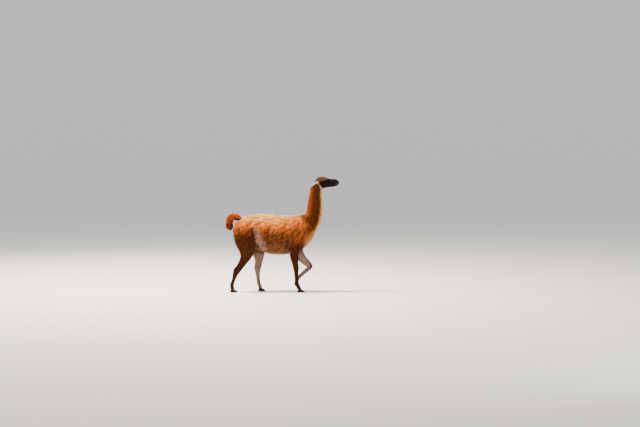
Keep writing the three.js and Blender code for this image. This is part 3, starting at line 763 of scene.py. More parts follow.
# Several colours hold painted light and shade. Painted light lightens the back's and the upper flank's
# colours, and the nape's colour is painted light. Painted shade darkens the neck's, flank's, low flank's, low
# band's, belly's, thigh's, shank's and foot's colours. The dark under folds, in the creases and on the ear is
# painted shade, and the tail end's colour is partly painted shade.
coatColours = {
    "back": rgb(255, 180, 90), "upper": rgb(236, 118, 34), "flank": rgb(136, 72, 30),
    "shadedFlankLow": rgb(106, 60, 26), "low": rgb(116, 76, 42), "shadedBelly": rgb(138, 98, 66),
    "groin": rgb(160, 116, 94), "shoulder": rgb(148, 74, 30), "litNape": rgb(184, 84, 26),
    "neck": rgb(90, 42, 9), "throat": rgb(240, 172, 100), "chest": rgb(196, 136, 84),
    "face": rgb(27, 12, 7), "crown": rgb(100, 60, 36), "pale": rgb(232, 206, 194),
    "lips": rgb(84, 70, 62), "thigh": rgb(74, 34, 8), "shadedShank": rgb(66, 30, 9),
    "foot": rgb(80, 48, 30), "inner": rgb(160, 126, 108), "shaded": rgb(84, 54, 36),
    "rear": rgb(206, 146, 92), "tail": rgb(182, 74, 16), "tailEndAndUnderShade": rgb(112, 48, 18),
    "ear": rgb(228, 196, 182), "earShade": rgb(44, 30, 26), "earEdge": rgb(238, 220, 208),
    "creaseShade": rgb(34, 18, 9), "eyeRim": rgb(20, 15, 13), "lash": rgb(24, 17, 14),
}


def bands(height, stops):
    # The colour at each height from rows of (height, colour name), with even steps between
    heights = [stop[0] for stop in stops]
    shades = np.array([coatColours[stop[1]] for stop in stops])
    return np.column_stack([np.interp(height, heights, shades[:, k]) for k in range(3)])


# Bands by height: the coat's own colours, lighter upward as painted light on the top and darker downward as
# painted shade
foreBands = [(660, "shadedShank"), (800, "shoulder"), (920, "shoulder"), (1040, "upper"), (1200, "back")]
haunchBands = [(820, "thigh"), (935, "shoulder"), (1010, "upper"), (1095, "back")]
flankBands = [
    (590, "low"), (690, "shadedFlankLow"), (800, "shadedFlankLow"), (880, "flank"), (980, "upper"), (1090, "back"),
]


def pastNeckBase(x, z):
    # How far a place lies past the slanting line where the trunk ends and the neck begins
    return ((z - 1128) * 194 + (x - 418) * 278) / 339


def pastThroat(x, z):
    # How far a place lies past the slanting line where the neck ends and the head begins
    return ((z - 1556) * 140 + (x - 540) * 78) / 160


def trunkColour(p, n):
    # Bands from the brown low flank up to the cream back, with the shoulder's and the haunch's own
    # at either end, raised on faces that look up: painted light on the top and painted shade lower
    # down, over the coat's own colours. Then a pinkish hollow in front of the thigh with painted
    # shade under its edge, painted shade in the creases at thigh and elbow, a pale chest, and a
    # pale belly darkened by painted shade.
    x, y, z = p.T
    up = n[:, 2]
    # Faces that look up take a higher band: painted light on tops and painted shade below
    height = z + 60 * up
    colour = bands(height, flankBands)
    colour = blend(colour, bands(height, foreBands), smooth(210, 330, x))
    colour = blend(colour, bands(height, haunchBands), smooth(-270, -330, x))
    front = thighFront(z, y)
    patchEnd = front + 105 + 95 * smooth(880, 640, z)
    groin = smooth(front - 4, front + 8, x) * smooth(patchEnd + 35, patchEnd - 35, x)
    colour = blend(colour, coatColours["groin"], 0.85 * groin * smooth(970, 890, z))
    # Painted shade under the lower edge of the thigh
    foldEdge = smooth(12, -8, x - front - 1.2 * (715 - z))
    underFoldShade = foldEdge * smooth(725, 695, z) * smooth(front - 8, front, x)
    colour = blend(colour, coatColours["shaded"], 0.95 * underFoldShade)
    # Painted shade in the creases in front of the thigh and behind the elbow
    thighCreaseShade = bell(x - front - 4, 11) * smooth(945, 915, z)
    elbowCreaseShade = bell(x - elbowRear(z, y) + 9, 12) * smooth(800, 760, z)
    colour = blend(colour, coatColours["creaseShade"], 0.9 * np.maximum(thighCreaseShade, elbowCreaseShade))
    # The pale belly, darkened by painted shade
    colour = blend(colour, coatColours["shadedBelly"], smooth(-0.6, -0.95, up))
    chest = smooth(0.1, -0.4, up) * smooth(120, 60, np.abs(y)) * smooth(380, 470, x)
    return blend(colour, coatColours["chest"], 0.9 * chest)


def spineColour(p, n):
    # The trunk's colours, then on the neck painted light on its rear edge, painted shade on its
    # sides and a pale front, and on the head a dark face, a brown crown and pale hair behind the jaw
    # and round the ears
    x, _, z = p.T
    up = n[:, 2]
    ahead = n[:, 0]
    neck = smooth(-110, 10, pastNeckBase(x, z))
    # Painted shade on the neck's sides, and painted light where it faces back
    neckColour = blend(coatColours["neck"][None], coatColours["litNape"], smooth(0.1, 0.8, -ahead))
    neckColour = blend(neckColour, coatColours["throat"], smooth(0.52, 0.85, ahead))
    colour = blend(trunkColour(p, n), neckColour, neck)
    head = smooth(1440, 1500, z) * smooth(560, 600, x)
    colour = blend(colour, coatColours["pale"], 0.7 * head * smooth(-0.1, -0.7, up))
    behindJaw = bell(x - 636 - 0.4 * (1550 - z), 8) * smooth(1440, 1470, z) * smooth(1560, 1530, z)
    colour = blend(colour, coatColours["pale"], 0.5 * behindJaw)
    faceEdge = 630 + 42 * smooth(1570, 1492, z)
    face = smooth(faceEdge - 7, faceEdge + 7, x) * smooth(1440, 1480, z)
    colour = blend(colour, coatColours["face"], face)
    crownLine = 1581 + 0.27 * (x - 640)
    crown = smooth(-5, 9, z - crownLine) * smooth(776, 740, x) * smooth(560, 590, x)
    colour = blend(colour, coatColours["crown"], crown)
    earBase = bell(np.hypot(x - 620, z - 1566), 13)
    colour = blend(colour, coatColours["pale"], 0.9 * earBase)
    lips = bell(z - mouthLine(x), 5) * smooth(840, 880, x) + smooth(0.2, -0.6, up) * smooth(850, 880, x)
    return blend(colour, coatColours["lips"], 0.6 * np.minimum(lips, 1) * face)


def limbColour(p, n, station, side, isHind):
    # The trunk's bands above, with their painted light and shade; dark rufous outside below and
    # browner to the foot, both darkened by painted shade; pale inside and along the rear edge, with
    # painted shade over the inside near the body and, on the hind legs, lower down
    # Faces that look up take a higher band: painted light on tops and painted shade below
    upper = bands(p[:, 2] + 60 * n[:, 2], haunchBands if isHind else foreBands)
    # Painted shade darkens the outside of the leg below and towards the foot
    colour = blend(upper, coatColours["shadedShank"], smooth(4, 8, station))
    colour = blend(colour, coatColours["foot"], smooth(11, 14.5, station))
    inner = smooth(0.05, 0.7, -side * n[:, 1])
    rear = smooth(0.65, 0.95, -n[:, 0]) * smooth(300, 420, p[:, 2])
    colour = blend(colour, coatColours["rear"], 0.7 * rear * smooth(9, 6, station))
    knee = bell(station - 7.4, 1.3) * smooth(-0.3, 0.4, n[:, 0]) * (not isHind)
    # Painted shade over the inner side near the body, and lower down on the hind legs
    shaded = 0.6 * smooth(520, 610, p[:, 2]) + 0.4 * smooth(280, 430, p[:, 2]) * isHind
    innerColour = blend(coatColours["inner"][None], coatColours["shaded"], shaded)
    return blend(colour, innerColour, 0.92 * inner * (1 - 0.9 * knee))


def tailColour(p, n):
    # Bright along the top of the hook as painted light, painted shade on the inside of it, and darker towards
    # the end
    # Painted shade where the hook faces down
    inside = smooth(0.2, -0.5, n[:, 2] - 0.4 * n[:, 0])
    end = smooth(1050, 980, p[:, 2]) * smooth(-600, -630, p[:, 0])
    return blend(coatColours["tail"][None], coatColours["tailEndAndUnderShade"], np.maximum(inside, end))


def earColour(turn, side):
    # Pale, partly as painted light, with painted shade on the lower part and a pale upper edge.
    # lower is 1 on the lower edge and -1 on the upper one, on the back and in the cup alike.
    lower = side * np.cos(2 * np.pi * turn)
    # Painted shade on the lower part of the ear
    colour = blend(coatColours["ear"][None], coatColours["earShade"], smooth(0.0, 0.35, lower))
    return blend(colour, coatColours["earEdge"], smooth(-0.7, -0.95, lower))


def placeInPart(name, corners):
    # Where map places lie in a part's grid, as ring and column numbers with fractions
    u0, v0, u1, v1 = parts[name]["rect"]
    rings, columns = parts[name]["grid"].shape[:2]
    r = (corners[..., 0] - u0) / (u1 - u0) * (rings + 1) - 1
    c = (corners[..., 1] - v0) / (v1 - v0) * columns
    return np.clip(r, 0, rings - 1), c


def stationAt(name, r):
    # The station of a part's table at ring numbers with fractions
    stations = parts[name]["station"]
    return np.interp(r, np.arange(len(stations)), stations)


def coatColour(p, n, owner, corners):
    # The coat's colour at points of the skin, given the part that each one belongs to
    colour = np.empty_like(p)
    for index, name in enumerate(partNames):
        here = owner == index
        if not here.any():
            continue
        r, c = placeInPart(name, corners[here])
        kind = name.split("_")[0]
        side = 1 if "left" in name else -1
        if kind == "spine":
            colour[here] = spineColour(p[here], n[here])
        elif kind == "limb":
            colour[here] = limbColour(p[here], n[here], stationAt(name, r), side, "hind" in name)
        elif kind == "tail":
            colour[here] = tailColour(p[here], n[here])
        elif kind == "ear":
            colour[here] = earColour(c / parts[name]["grid"].shape[1], side)
        else:
            colour[here] = coatColours["foot"]
    return colour


def pointNormals(points, faces):
    # The mean of the normals of the faces round each point, weighted by their area, and the area
    # of each face
    a, b, c = (points[faces[:, k]] for k in range(3))
    square = np.cross(b - a, c - a)
    total = np.column_stack([
        sum(np.bincount(faces[:, k], square[:, axis], len(points)) for k in range(3)) for axis in range(3)
    ])
    return unit(total), np.linalg.norm(square, axis=1) / 2


skinNormals, faceAreas = pointNormals(skinPoints, skinFaces)
pointOwner = np.zeros(len(skinPoints), int)
pointOwner[skinFaces] = skinOwner[:, None]
pointCorners = np.zeros((len(skinPoints), 2))
pointCorners[skinFaces] = skinCorners
skinColours = coatColour(skinPoints, skinNormals, pointOwner, pointCorners)
for side in eyes.values():
    rimmed = smooth(1.45, 1.1, eyeOpening(skinPoints, side)[0])
    skinColours = blend(skinColours, coatColours["eyeRim"], rimmed)


# The coat: tufts rooted all over the skin, each one a flat three-sided blade that follows the
# grid of its part along the lie of the hair and lifts towards its tip

# Rows of [station, length, width, height of the tip, tufts to a square millimetre, gathering]
spineCoat = np.array([
    [0, 2.2, 1.5, 0.7, 0.16, 0],
    [3, 3, 1.6, 0.9, 0.2, 0],
    [6, 4.5, 1.9, 1.5, 0.19, 0],
    [8, 7.5, 2.4, 3, 0.17, 0.1],
    [10, 13, 3, 6, 0.13, 0.2],
    [12, 18, 3.6, 7.5, 0.1, 0.25],
    [18, 26, 4.6, 9, 0.075, 0.35],
    [21, 38, 6, 13, 0.043, 0.55],
    [24, 52, 7, 18, 0.028, 0.7],
    [30, 50, 7, 18, 0.028, 0.7],
    [32, 40, 6.5, 13, 0.032, 0.5],
    [33, 32, 6, 11, 0.04, 0.45],
])
limbCoat = np.array([
    [0, 46, 7, 16, 0.028, 0.65],
    [2, 42, 6.5, 14, 0.03, 0.6],
    [4, 30, 5.4, 9.5, 0.042, 0.4],
    [6, 19, 4.4, 6, 0.065, 0.3],
    [8, 11.5, 3.2, 3.4, 0.1, 0.1],
    [10, 8.5, 2.7, 2.2, 0.13, 0],
    [15, 8.5, 2.7, 2.2, 0.13, 0],
])
tailCoat = np.array([
    [0, 40, 5, 18, 0.06, 0.3],
    [2.5, 52, 5.4, 30, 0.075, 0.35],
    [5.5, 44, 5.4, 32, 0.085, 0.35],
    [6.3, 30, 5.2, 28, 0.1, 0.3],
    [7, 18, 4.8, 16, 0.12, 0.2],
])
earCoat = np.array([
    [0, 14, 2.6, 3.5, 0.12, 0],
    [0.5, 10, 2.2, 2.4, 0.16, 0],
    [0.85, 11, 2.0, 2, 0.2, 0],
    [1, 14, 1.8, 1.6, 0.24, 0],
])
toeCoat = np.array([
    [0, 8, 2.6, 2, 0.13, 0],
    [5, 6, 2.2, 1.4, 0.14, 0],
])
coatTables = {"spine": spineCoat, "limb": limbCoat, "tail": tailCoat, "ear": earCoat, "toe": toeCoat}
# rootShade darkens each tuft's root as painted shade, and tipShade lightens its tip
coatSettings = {
    "seed": 11, "colourJitter": 0.12, "normalJitter": 0.08, "hang": 1.05, "sway": 0.2, "lean": 0.6,
    "rootDepth": 1.5, "shortestStep": 0.4, "roll": 1.1, "ridge": 0.22, "mapPatch": 0.003,
    "rootShade": 0.42, "tipShade": 1.16, "middleLength": 11, "longLength": 36,
}
clumpSettings = {
    "cellRings": 4.2, "cellAspect": 0.8, "narrowestCell": 4, "fewestCells": 6, "shakeFrom": -0.1,
    "shakeSpan": 1.2, "lockStretch": 1.35, "reach": 1.25, "reachSpread": 0.5, "cutOff": 1.6,
    "sway": 0.42, "swayFrom": 0.15, "alongPull": 0.75, "pullPower": 1.4,
    "crest": 1.2, "crestFall": 0.6, "crestSlope": 0.2,
    # Each clump gets its own tone; painted shade darkens its edge and painted light brightens its end
    "tone": 0.1, "toneSpread": 0.6, "clumpEdgeShade": 0.42, "clumpEndLight": 0.1,
}
# The least heights of a tuft's middle line and of its corners over the floor
floorGaps = {"path": 0.6, "corner": 0.3}
# What the crown adds to its tufts, and what the hollow in front of the thigh takes from them
crownSettings = {"length": 9, "height": 3.5, "width": 0.6}
groinSettings = {"share": 0.55, "trims": ("length", "height", "gather")}
spineIndex = partNames.index("spine")
chance = np.random.default_rng(coatSettings["seed"])


def sampleGrid(field, r, c):
    # Between the four nearest points of a grid, held at its ends and wrapped round it
    rings, columns = field.shape[:2]
    r = np.clip(r, 0, rings - 1.001)
    i = r.astype(int)
    j = np.floor(c).astype(int)
    s, q = (r - i)[..., None], (c - j)[..., None]
    j, k = j % columns, (j + 1) % columns
    before = field[i, j] * (1 - q) + field[i, k] * q
    after = field[i + 1, j] * (1 - q) + field[i + 1, k] * q
    return before * (1 - s) + after * s


def coatStyle(owner, corners, column):
    # One column of the coat tables at each place
    value = np.zeros(len(owner))
    for index, name in enumerate(partNames):
        here = owner == index
        if here.any():
            r, _ = placeInPart(name, corners[here])
            table = coatTables[name.split("_")[0]]
            value[here] = np.interp(stationAt(name, r), table[:, 0], table[:, column])
    return value


def coatThinning(p, n, owner):
    # Where the coat is left off: the eye openings, the mouth, the nostrils and the soles
    x, _, z = p.T
    isSpine = owner == spineIndex
    share = np.ones(len(p))
    for side in eyes.values():
        share *= smooth(1.1, 1.3, eyeOpening(p, side)[0])
        along, across, away = nostrilPlace(p, side)
        share *= 1 - (np.abs(along) < 12) * (np.abs(across) < 4) * (away < 20)
    mouth = (np.abs(z - mouthLine(x)) < 2.5) & (x > headSettings["mouthCorner"])
    share[mouth & isSpine] = 0
    share *= 1 - isSpine * smooth(900, 912, x)
    sole = (z < 8) & (n[:, 2] < -0.3)
    share[sole] = 0
    return share


def drawRoots():
    # Places on the skin, evenly spread in the running total of area times density, so that
    # there are as many roots as the coat tables ask for
    centres = skinPoints[skinFaces].mean(1)
    normals = unit(skinNormals[skinFaces].mean(1))
    middle = skinCorners.mean(1)
    density = coatStyle(skinOwner, middle, 4) * coatThinning(centres, normals, skinOwner)
    total = np.cumsum(faceAreas * density)
    count = int(total[-1])
    draws = (np.arange(count) + chance.random(count)) * total[-1] / count
    face = np.minimum(np.searchsorted(total, draws), len(total) - 1)
    a, b = chance.random((2, count))
    flip = a + b > 1
    a[flip], b[flip] = 1 - a[flip], 1 - b[flip]
    share = np.column_stack([1 - a - b, a, b])
    return {
        "owner": skinOwner[face],
        "at": np.einsum("nk,nkj->nj", share, skinPoints[skinFaces[face]]),
        "normal": unit(np.einsum("nk,nkj->nj", share, skinNormals[skinFaces[face]])),
        "map": np.einsum("nk,nkj->nj", share, skinCorners[face]),
    }


def nearestClump(part, r, c, crowding, lie):
    # The nearest of a set of clump centres. Rows of cells lie along the part and each row has
    # as many cells round it as its girth asks for, with a centre shaken out of the middle of
    # each and a reach of its own. Steps along the lie count for less than steps across it,
    # which draws clumps out into locks. Returns the centre's ring and column, how far it is in
    # cells, how far the place lies past it along the lie, and four numbers of the clump's own.
    rings, columns = part["grid"].shape[:2]
    rowRings, stretch = clumpSettings["cellRings"], clumpSettings["lockStretch"]
    shakeFrom, shakeSpan = clumpSettings["shakeFrom"], clumpSettings["shakeSpan"]
    girth = part["columnStep"][..., 0].sum(1)
    step = part["ringStep"][..., 0].mean(1)
    rows = int(np.ceil(rings / rowRings)) + 2
    rowAt = np.clip((np.arange(rows) + 0.5) * rowRings, 0, rings - 1).astype(int)
    cellWidth = clumpSettings["cellAspect"] * (rowRings * step[rowAt])
    cells = np.round(girth[rowAt] / np.maximum(cellWidth, clumpSettings["narrowestCell"]))
    cells = np.maximum(clumpSettings["fewestCells"], cells).astype(int)
    table = chance.random((rows, cells.max(), 6))
    turn = np.linspace(-np.pi, np.pi, 721)
    angle = turn + crowding * np.sin(2 * turn)
    around = np.interp(c / columns * 2 * np.pi - np.pi, turn, angle) / (2 * np.pi) + 0.5
    best = np.full(len(r), np.inf)
    found = np.zeros((len(r), 7))
    row = np.clip((r / rowRings).astype(int), 0, rows - 1)
    shifts = (-2, -1, 0, 1, 2)
    for rowShift in shifts:
        i = np.clip(row + rowShift, 0, rows - 1)
        count = cells[i]
        for cellShift in shifts:
            j = np.floor(around * count).astype(int) + cellShift
            own = table[i, j % count]
            centreAround = (j + shakeFrom + shakeSpan * own[:, 0]) / count
            centreRing = (i + shakeFrom + shakeSpan * own[:, 1]) * rowRings
            ahead = (r - centreRing) / rowRings
            beside = (around - centreAround) * count
            past = ahead * lie[0] + beside * lie[1]
            aside = beside * lie[0] - ahead * lie[1]
            away = np.hypot(past / stretch, aside * stretch)
            away *= clumpSettings["reach"] - clumpSettings["reachSpread"] * own[:, 4]
            nearer = away < best
            best = np.where(nearer, away, best)
            centreTurn = np.interp((centreAround % 1 - 0.5) * 2 * np.pi, angle, turn)
            centreColumn = (centreTurn + np.pi) / (2 * np.pi) * columns
            found[nearer] = np.column_stack([centreRing, centreColumn, past, own[:, 2:]])[nearer]
    return found[:, 0], found[:, 1], best, found[:, 2], found[:, 3:]


def bladeBodies(path, side, rise, width, thick):
    # Closed blades: at each point of the path but the last a three-cornered ring, two corners
    # at -side and +side and a ridge along rise, and the last point is the tip
    rings = path.shape[1] - 1
    middle, across, over = path[:, :rings], side[:, :rings], rise[:, :rings]
    half = (width / 2)[..., None]
    ridge = thick[..., None]
    corners = np.stack([
        middle - across * half - over * ridge * 0.3,
        middle + across * half - over * ridge * 0.3,
        middle + over * ridge,
    ], 2)
    count = len(path)
    points = np.concatenate([corners.reshape(count, 3 * rings, 3), path[:, rings:]], 1)
    template = [[0, 1, 2]]
    for ring in range(rings):
        for k in range(3):
            a, b = 3 * ring + k, 3 * ring + (k + 1) % 3
            if ring == rings - 1:
                template.append([b, a, 3 * rings])
            else:
                template += [[b, a, a + 3], [b, a + 3, b + 3]]
    template = np.array(template)
    a, b, c = (points[:, template[:, k]] for k in range(3))
    if np.sum(a * np.cross(b, c)) < 0:
        template = template[:, ::-1]
    faces = template[None] + (np.arange(count) * (3 * rings + 1))[:, None, None]
    return points, faces.reshape(-1, 3)


def hairLie(name, r, c):
    # The lie as shares along the part and round it. It runs from nose, hip or root to the end,
    # and hangs on the trunk's flanks by sin(turn) * |sin(turn)|.
    turn = c / parts[name]["grid"].shape[1] * 2 * np.pi - np.pi
    hang = np.sin(turn) * np.abs(np.sin(turn)) * coatSettings["hang"] * (name == "spine")
    hang = hang * smooth(18, 23, stationAt(name, r))
    return 1 / np.hypot(1, hang), hang / np.hypot(1, hang)


def walkOver(part, r, c, forward, sideways, length, base, s):
    # Places at shares s of a way over the grid. The rings and columns that it crosses are its
    # length over the grid's steps, put right twice by length over the distance reached, and
    # past the last ring it goes straight on. Returns the way from base on, and its normals.
    grid = part["grid"]
    start, last = sampleGrid(grid, r, c), grid.shape[0] - 1
    ringStep, columnStep = (
        np.maximum(sampleGrid(part[key], r, c)[:, 0], coatSettings["shortestStep"])
        for key in ("ringStep", "columnStep")
    )
    stepR, stepC = forward * length / ringStep, sideways * length / columnStep
    for _ in range(2):
        reached = np.linalg.norm(sampleGrid(grid, r + stepR, c + stepC) - start, axis=1)
        ratio = np.clip(length / np.maximum(reached, 0.1), 0.3, 1.6)
        ratio = np.where(r + stepR > last, 1, ratio)
        stepR, stepC = stepR * ratio, stepC * ratio
    walkR = r[:, None] + stepR[:, None] * s
    walkC = c[:, None] + stepC[:, None] * s
    beyond = np.maximum(walkR - last, 0) * ringStep[:, None]
    ahead = unit(sampleGrid(part["along"], r, c))
    walked = sampleGrid(grid, walkR, walkC) - start[:, None]
    path = walked + base[:, None] + beyond[..., None] * ahead[:, None]
    return path, sampleGrid(part["normals"], walkR, walkC)


# For tufts of one, two and three rings: the shares of the length where the rings and the tip lie,
# and the share of the width at each ring
ringShares = {1: [0, 1], 2: [0, 0.5, 1], 3: [0, 0.3, 0.66, 1]}
ringWidths = {1: [1], 2: [0.8, 1], 3: [0.7, 1, 0.72]}


def tuftsOn(name, chosen, roots, style, ringCount):
    # Tufts of one part. Each one walks along its lie over the grid, is drawn towards its clump's
    # centre and lifts by height * s * (1 + lean - lean * s). The clump's middle stands higher than
    # its edge, and its end more so than its start. Painted shade darkens the clump's edge and each
    # tuft's root, and painted light brightens the clump's end.
    part = parts[name]
    length, width, height, gather = (style[k][chosen] for k in ("length", "width", "height", "gather"))
    base, normal, place = (roots[k][chosen] for k in ("at", "normal", "map"))
    r, c = placeInPart(name, place)
    crowding = spineSettings["sideCrowding"] if name == "spine" else 0
    evenness = sampleGrid(part["ringStep"] / part["ringStep"].mean(1, keepdims=True), r, c)[:, 0]
    gather = gather * np.clip(evenness, 0.25, 1)
    alongShare, aroundShare = hairLie(name, r, c)
    clumpR, clumpC, clumpAway, past, own = nearestClump(part, r, c, crowding, (alongShare, aroundShare))
    hair = chance.random((len(chosen), 5))

    angle = (hair[:, 0] - 0.5) * 2 * coatSettings["sway"]
    angle += (own[:, 0] - 0.5) * 2 * clumpSettings["sway"] * (gather > clumpSettings["swayFrom"])
    forward = alongShare * np.cos(angle) - aroundShare * np.sin(angle)
    sideways = alongShare * np.sin(angle) + aroundShare * np.cos(angle)
    length = length * (0.75 + 0.5 * hair[:, 1]) * (0.85 + 0.3 * own[:, 1])
    s = np.array(ringShares[ringCount])[None, :]
    path, gridNormals = walkOver(part, r, c, forward, sideways, length, base, s)
    normals = unit(gridNormals + (normal - sampleGrid(part["normals"], r, c))[:, None])

    toCentre = sampleGrid(part["grid"], clumpR, clumpC) - sampleGrid(part["grid"], r, c)
    pull = toCentre * (clumpAway < clumpSettings["cutOff"])[:, None]
    lie = unit(path[:, -1] - path[:, 0])
    pull = pull - lie * (clumpSettings["alongPull"] * np.sum(pull * lie, 1))[:, None]
    path = path + pull[:, None] * (gather[:, None] * s ** clumpSettings["pullPower"])[..., None]

    apart = np.minimum(clumpAway, 1) ** 2
    towardsEnd = np.clip(past, -1, 1)
    gathered = np.minimum(gather * 2, 1)
    crest = clumpSettings["crest"] - clumpSettings["crestFall"] * apart
    crest = crest + clumpSettings["crestSlope"] * towardsEnd
    lift = height * (0.8 + 0.4 * hair[:, 2]) * (1 + gathered * (crest * (0.75 + 0.5 * own[:, 2]) - 1))
    lean = coatSettings["lean"]
    sunk = np.minimum(coatSettings["rootDepth"], 0.3 * height)[:, None] * (1 - s)
    rise = lift[:, None] * s * (1 + lean - lean * s) - sunk
    path = path + normals * rise[..., None]
    path[..., 2] = np.maximum(path[..., 2], floorGaps["path"])

    along = unit(np.gradient(path, axis=1))
    across = unit(np.cross(along, normals))
    roll = ((hair[:, 3] - 0.5) * coatSettings["roll"])[:, None, None]
    side = across * np.cos(roll) + normals * np.sin(roll)
    over = normals * np.cos(roll) - across * np.sin(roll)
    widths = (width * (0.8 + 0.4 * hair[:, 4]))[:, None] * np.array(ringWidths[ringCount])
    points, faces = bladeBodies(path, side, over, widths, coatSettings["ridge"] * widths)
    points[..., 2] = np.maximum(points[..., 2], floorGaps["corner"])

    shares = np.concatenate([np.repeat(s[0, :-1], 3), [1]])
    # Painted shade at each tuft's root, lighter towards its tip
    shade = coatSettings["rootShade"] + (coatSettings["tipShade"] - coatSettings["rootShade"]) * shares ** 0.7
    # Each clump's own tone, with painted shade towards its edge and painted light towards its end
    clumpToneLightAndShade = clumpSettings["toneSpread"] * (own[:, 3] - 0.5) + clumpSettings["tone"]
    clumpToneLightAndShade = clumpToneLightAndShade - clumpSettings["clumpEdgeShade"] * apart + clumpSettings["clumpEndLight"] * towardsEnd
    tone = (0.86 + 0.28 * hair[:, 1]) * (1 + gathered * clumpToneLightAndShade)
    colours = style["colour"][chosen][:, None] * (tone[:, None] * shade[None])[..., None]
    patch = np.array([[-0.5, 0], [0.5, 0], [0, 0]] * ringCount + [[0, 0]])
    patch[:, 1] += shares
    maps = place[:, None] + patch[None] * coatSettings["mapPatch"]
    return points.reshape(-1, 3), faces, np.clip(colours, 0, 1).reshape(-1, 3), maps.reshape(-1, 2)


def joinTufts(groups):
    # Puts groups of tufts after one another as one set of arrays
    offsets = np.cumsum([0] + [len(group[0]) for group in groups[:-1]])
    faces = np.concatenate([group[1] + offset for group, offset in zip(groups, offsets)])
    points, colours, maps = (np.concatenate([group[k] for group in groups]) for k in (0, 2, 3))
    return points, faces, colours, maps


def crownFluff(at, style, owner):
    # The crown's hair is longer and stands higher than the face's
    x, _, z = at.T
    crown = (owner == spineIndex) * smooth(598, 612, x) * smooth(760, 725, x) * smooth(1606, 1628, z)
    for key, more in crownSettings.items():
        style[key] = style[key] + more * crown


def groinTrim(at, style, owner):
    # The hair in the hollow in front of the thigh is shorter and lies flatter
    x, y, z = at.T
    front = thighFront(z, y)
    patch = smooth(front - 10, front + 6, x) * smooth(front + 130, front + 60, x) * smooth(960, 880, z)
    trim = 1 - groinSettings["share"] * patch * (owner == spineIndex) * smooth(60, 120, np.abs(y))
    for key in groinSettings["trims"]:
        style[key] = style[key] * trim


roots = drawRoots()
tableColumns = {"length": 1, "width": 2, "height": 3, "gather": 5}
style = {key: coatStyle(roots["owner"], roots["map"], column) for key, column in tableColumns.items()}
shake = (coatSettings["colourJitter"] * style["length"])[:, None]
shaken = roots["at"] + chance.normal(size=roots["at"].shape) * shake
tilted = unit(roots["normal"] + coatSettings["normalJitter"] * chance.normal(size=roots["at"].shape))
style["colour"] = coatColour(shaken, tilted, roots["owner"], roots["map"])
crownFluff(roots["at"], style, roots["owner"])
groinTrim(roots["at"], style, roots["owner"])
rootX, rootY, rootZ = roots["at"].T
print("roots drawn:", len(rootX))


def ownedBy(*starts):
    # Which roots lie on the parts whose names start so
    return np.isin(roots["owner"], [k for k, name in enumerate(partNames) if name.startswith(starts)])


# The coat is split into pieces at the neck's base, the throat, the middle and two places in X
barrelFrom, barrelTo = -170, 250
onSpine = ownedBy("spine")
aboveThroat = pastThroat(rootX, rootZ) > 0
aboveNeckBase = pastNeckBase(rootX, rootZ) > 0
onNeck = onSpine & aboveNeckBase & ~aboveThroat
onTrunk = onSpine & ~aboveNeckBase
coatPieces = {
    "head": ("coat_face", onSpine & aboveThroat),
    "tail": ("coat_wool", ownedBy("tail")),
    "ears": ("coat_ear", ownedBy("ear")),
}
for sideName, onSide in {"left": rootY > 0, "right": rootY <= 0}.items():
    onFlank = onTrunk & onSide
    onBarrel = (rootX > barrelFrom) & (rootX <= barrelTo)
    coatPieces[f"neck_{sideName}"] = ("coat_short", onNeck & onSide)
    coatPieces[f"shoulder_{sideName}"] = ("coat_wool", onFlank & (rootX > barrelTo))
    coatPieces[f"barrel_{sideName}"] = ("coat_wool", onFlank & onBarrel)
    coatPieces[f"rump_{sideName}"] = ("coat_wool", onFlank & (rootX <= barrelFrom))
for footName in feet:
    onLeg = ownedBy(f"limb_{footName}", f"toe_{footName}")
    coatPieces[f"leg_{footName}"] = ("coat_short", onLeg)


# Finishes. Wire is a socket with arithmetic, and Finish makes the nodes of one material.

class Wire:
    def __init__(self, finish, socket):
        self.finish = finish
        self.socket = socket

    def math(self, operation, a, b):
        return self.finish.node("ShaderNodeMath", {"operation": operation}, {0: a, 1: b})

    def __add__(self, other):
        return self.math("ADD", self, other)

    __radd__ = __add__

    def __sub__(self, other):
        return self.math("SUBTRACT", self, other)

    def __rsub__(self, other):
        return self.math("SUBTRACT", other, self)

    def __mul__(self, other):
        return self.math("MULTIPLY", self, other)

    __rmul__ = __mul__


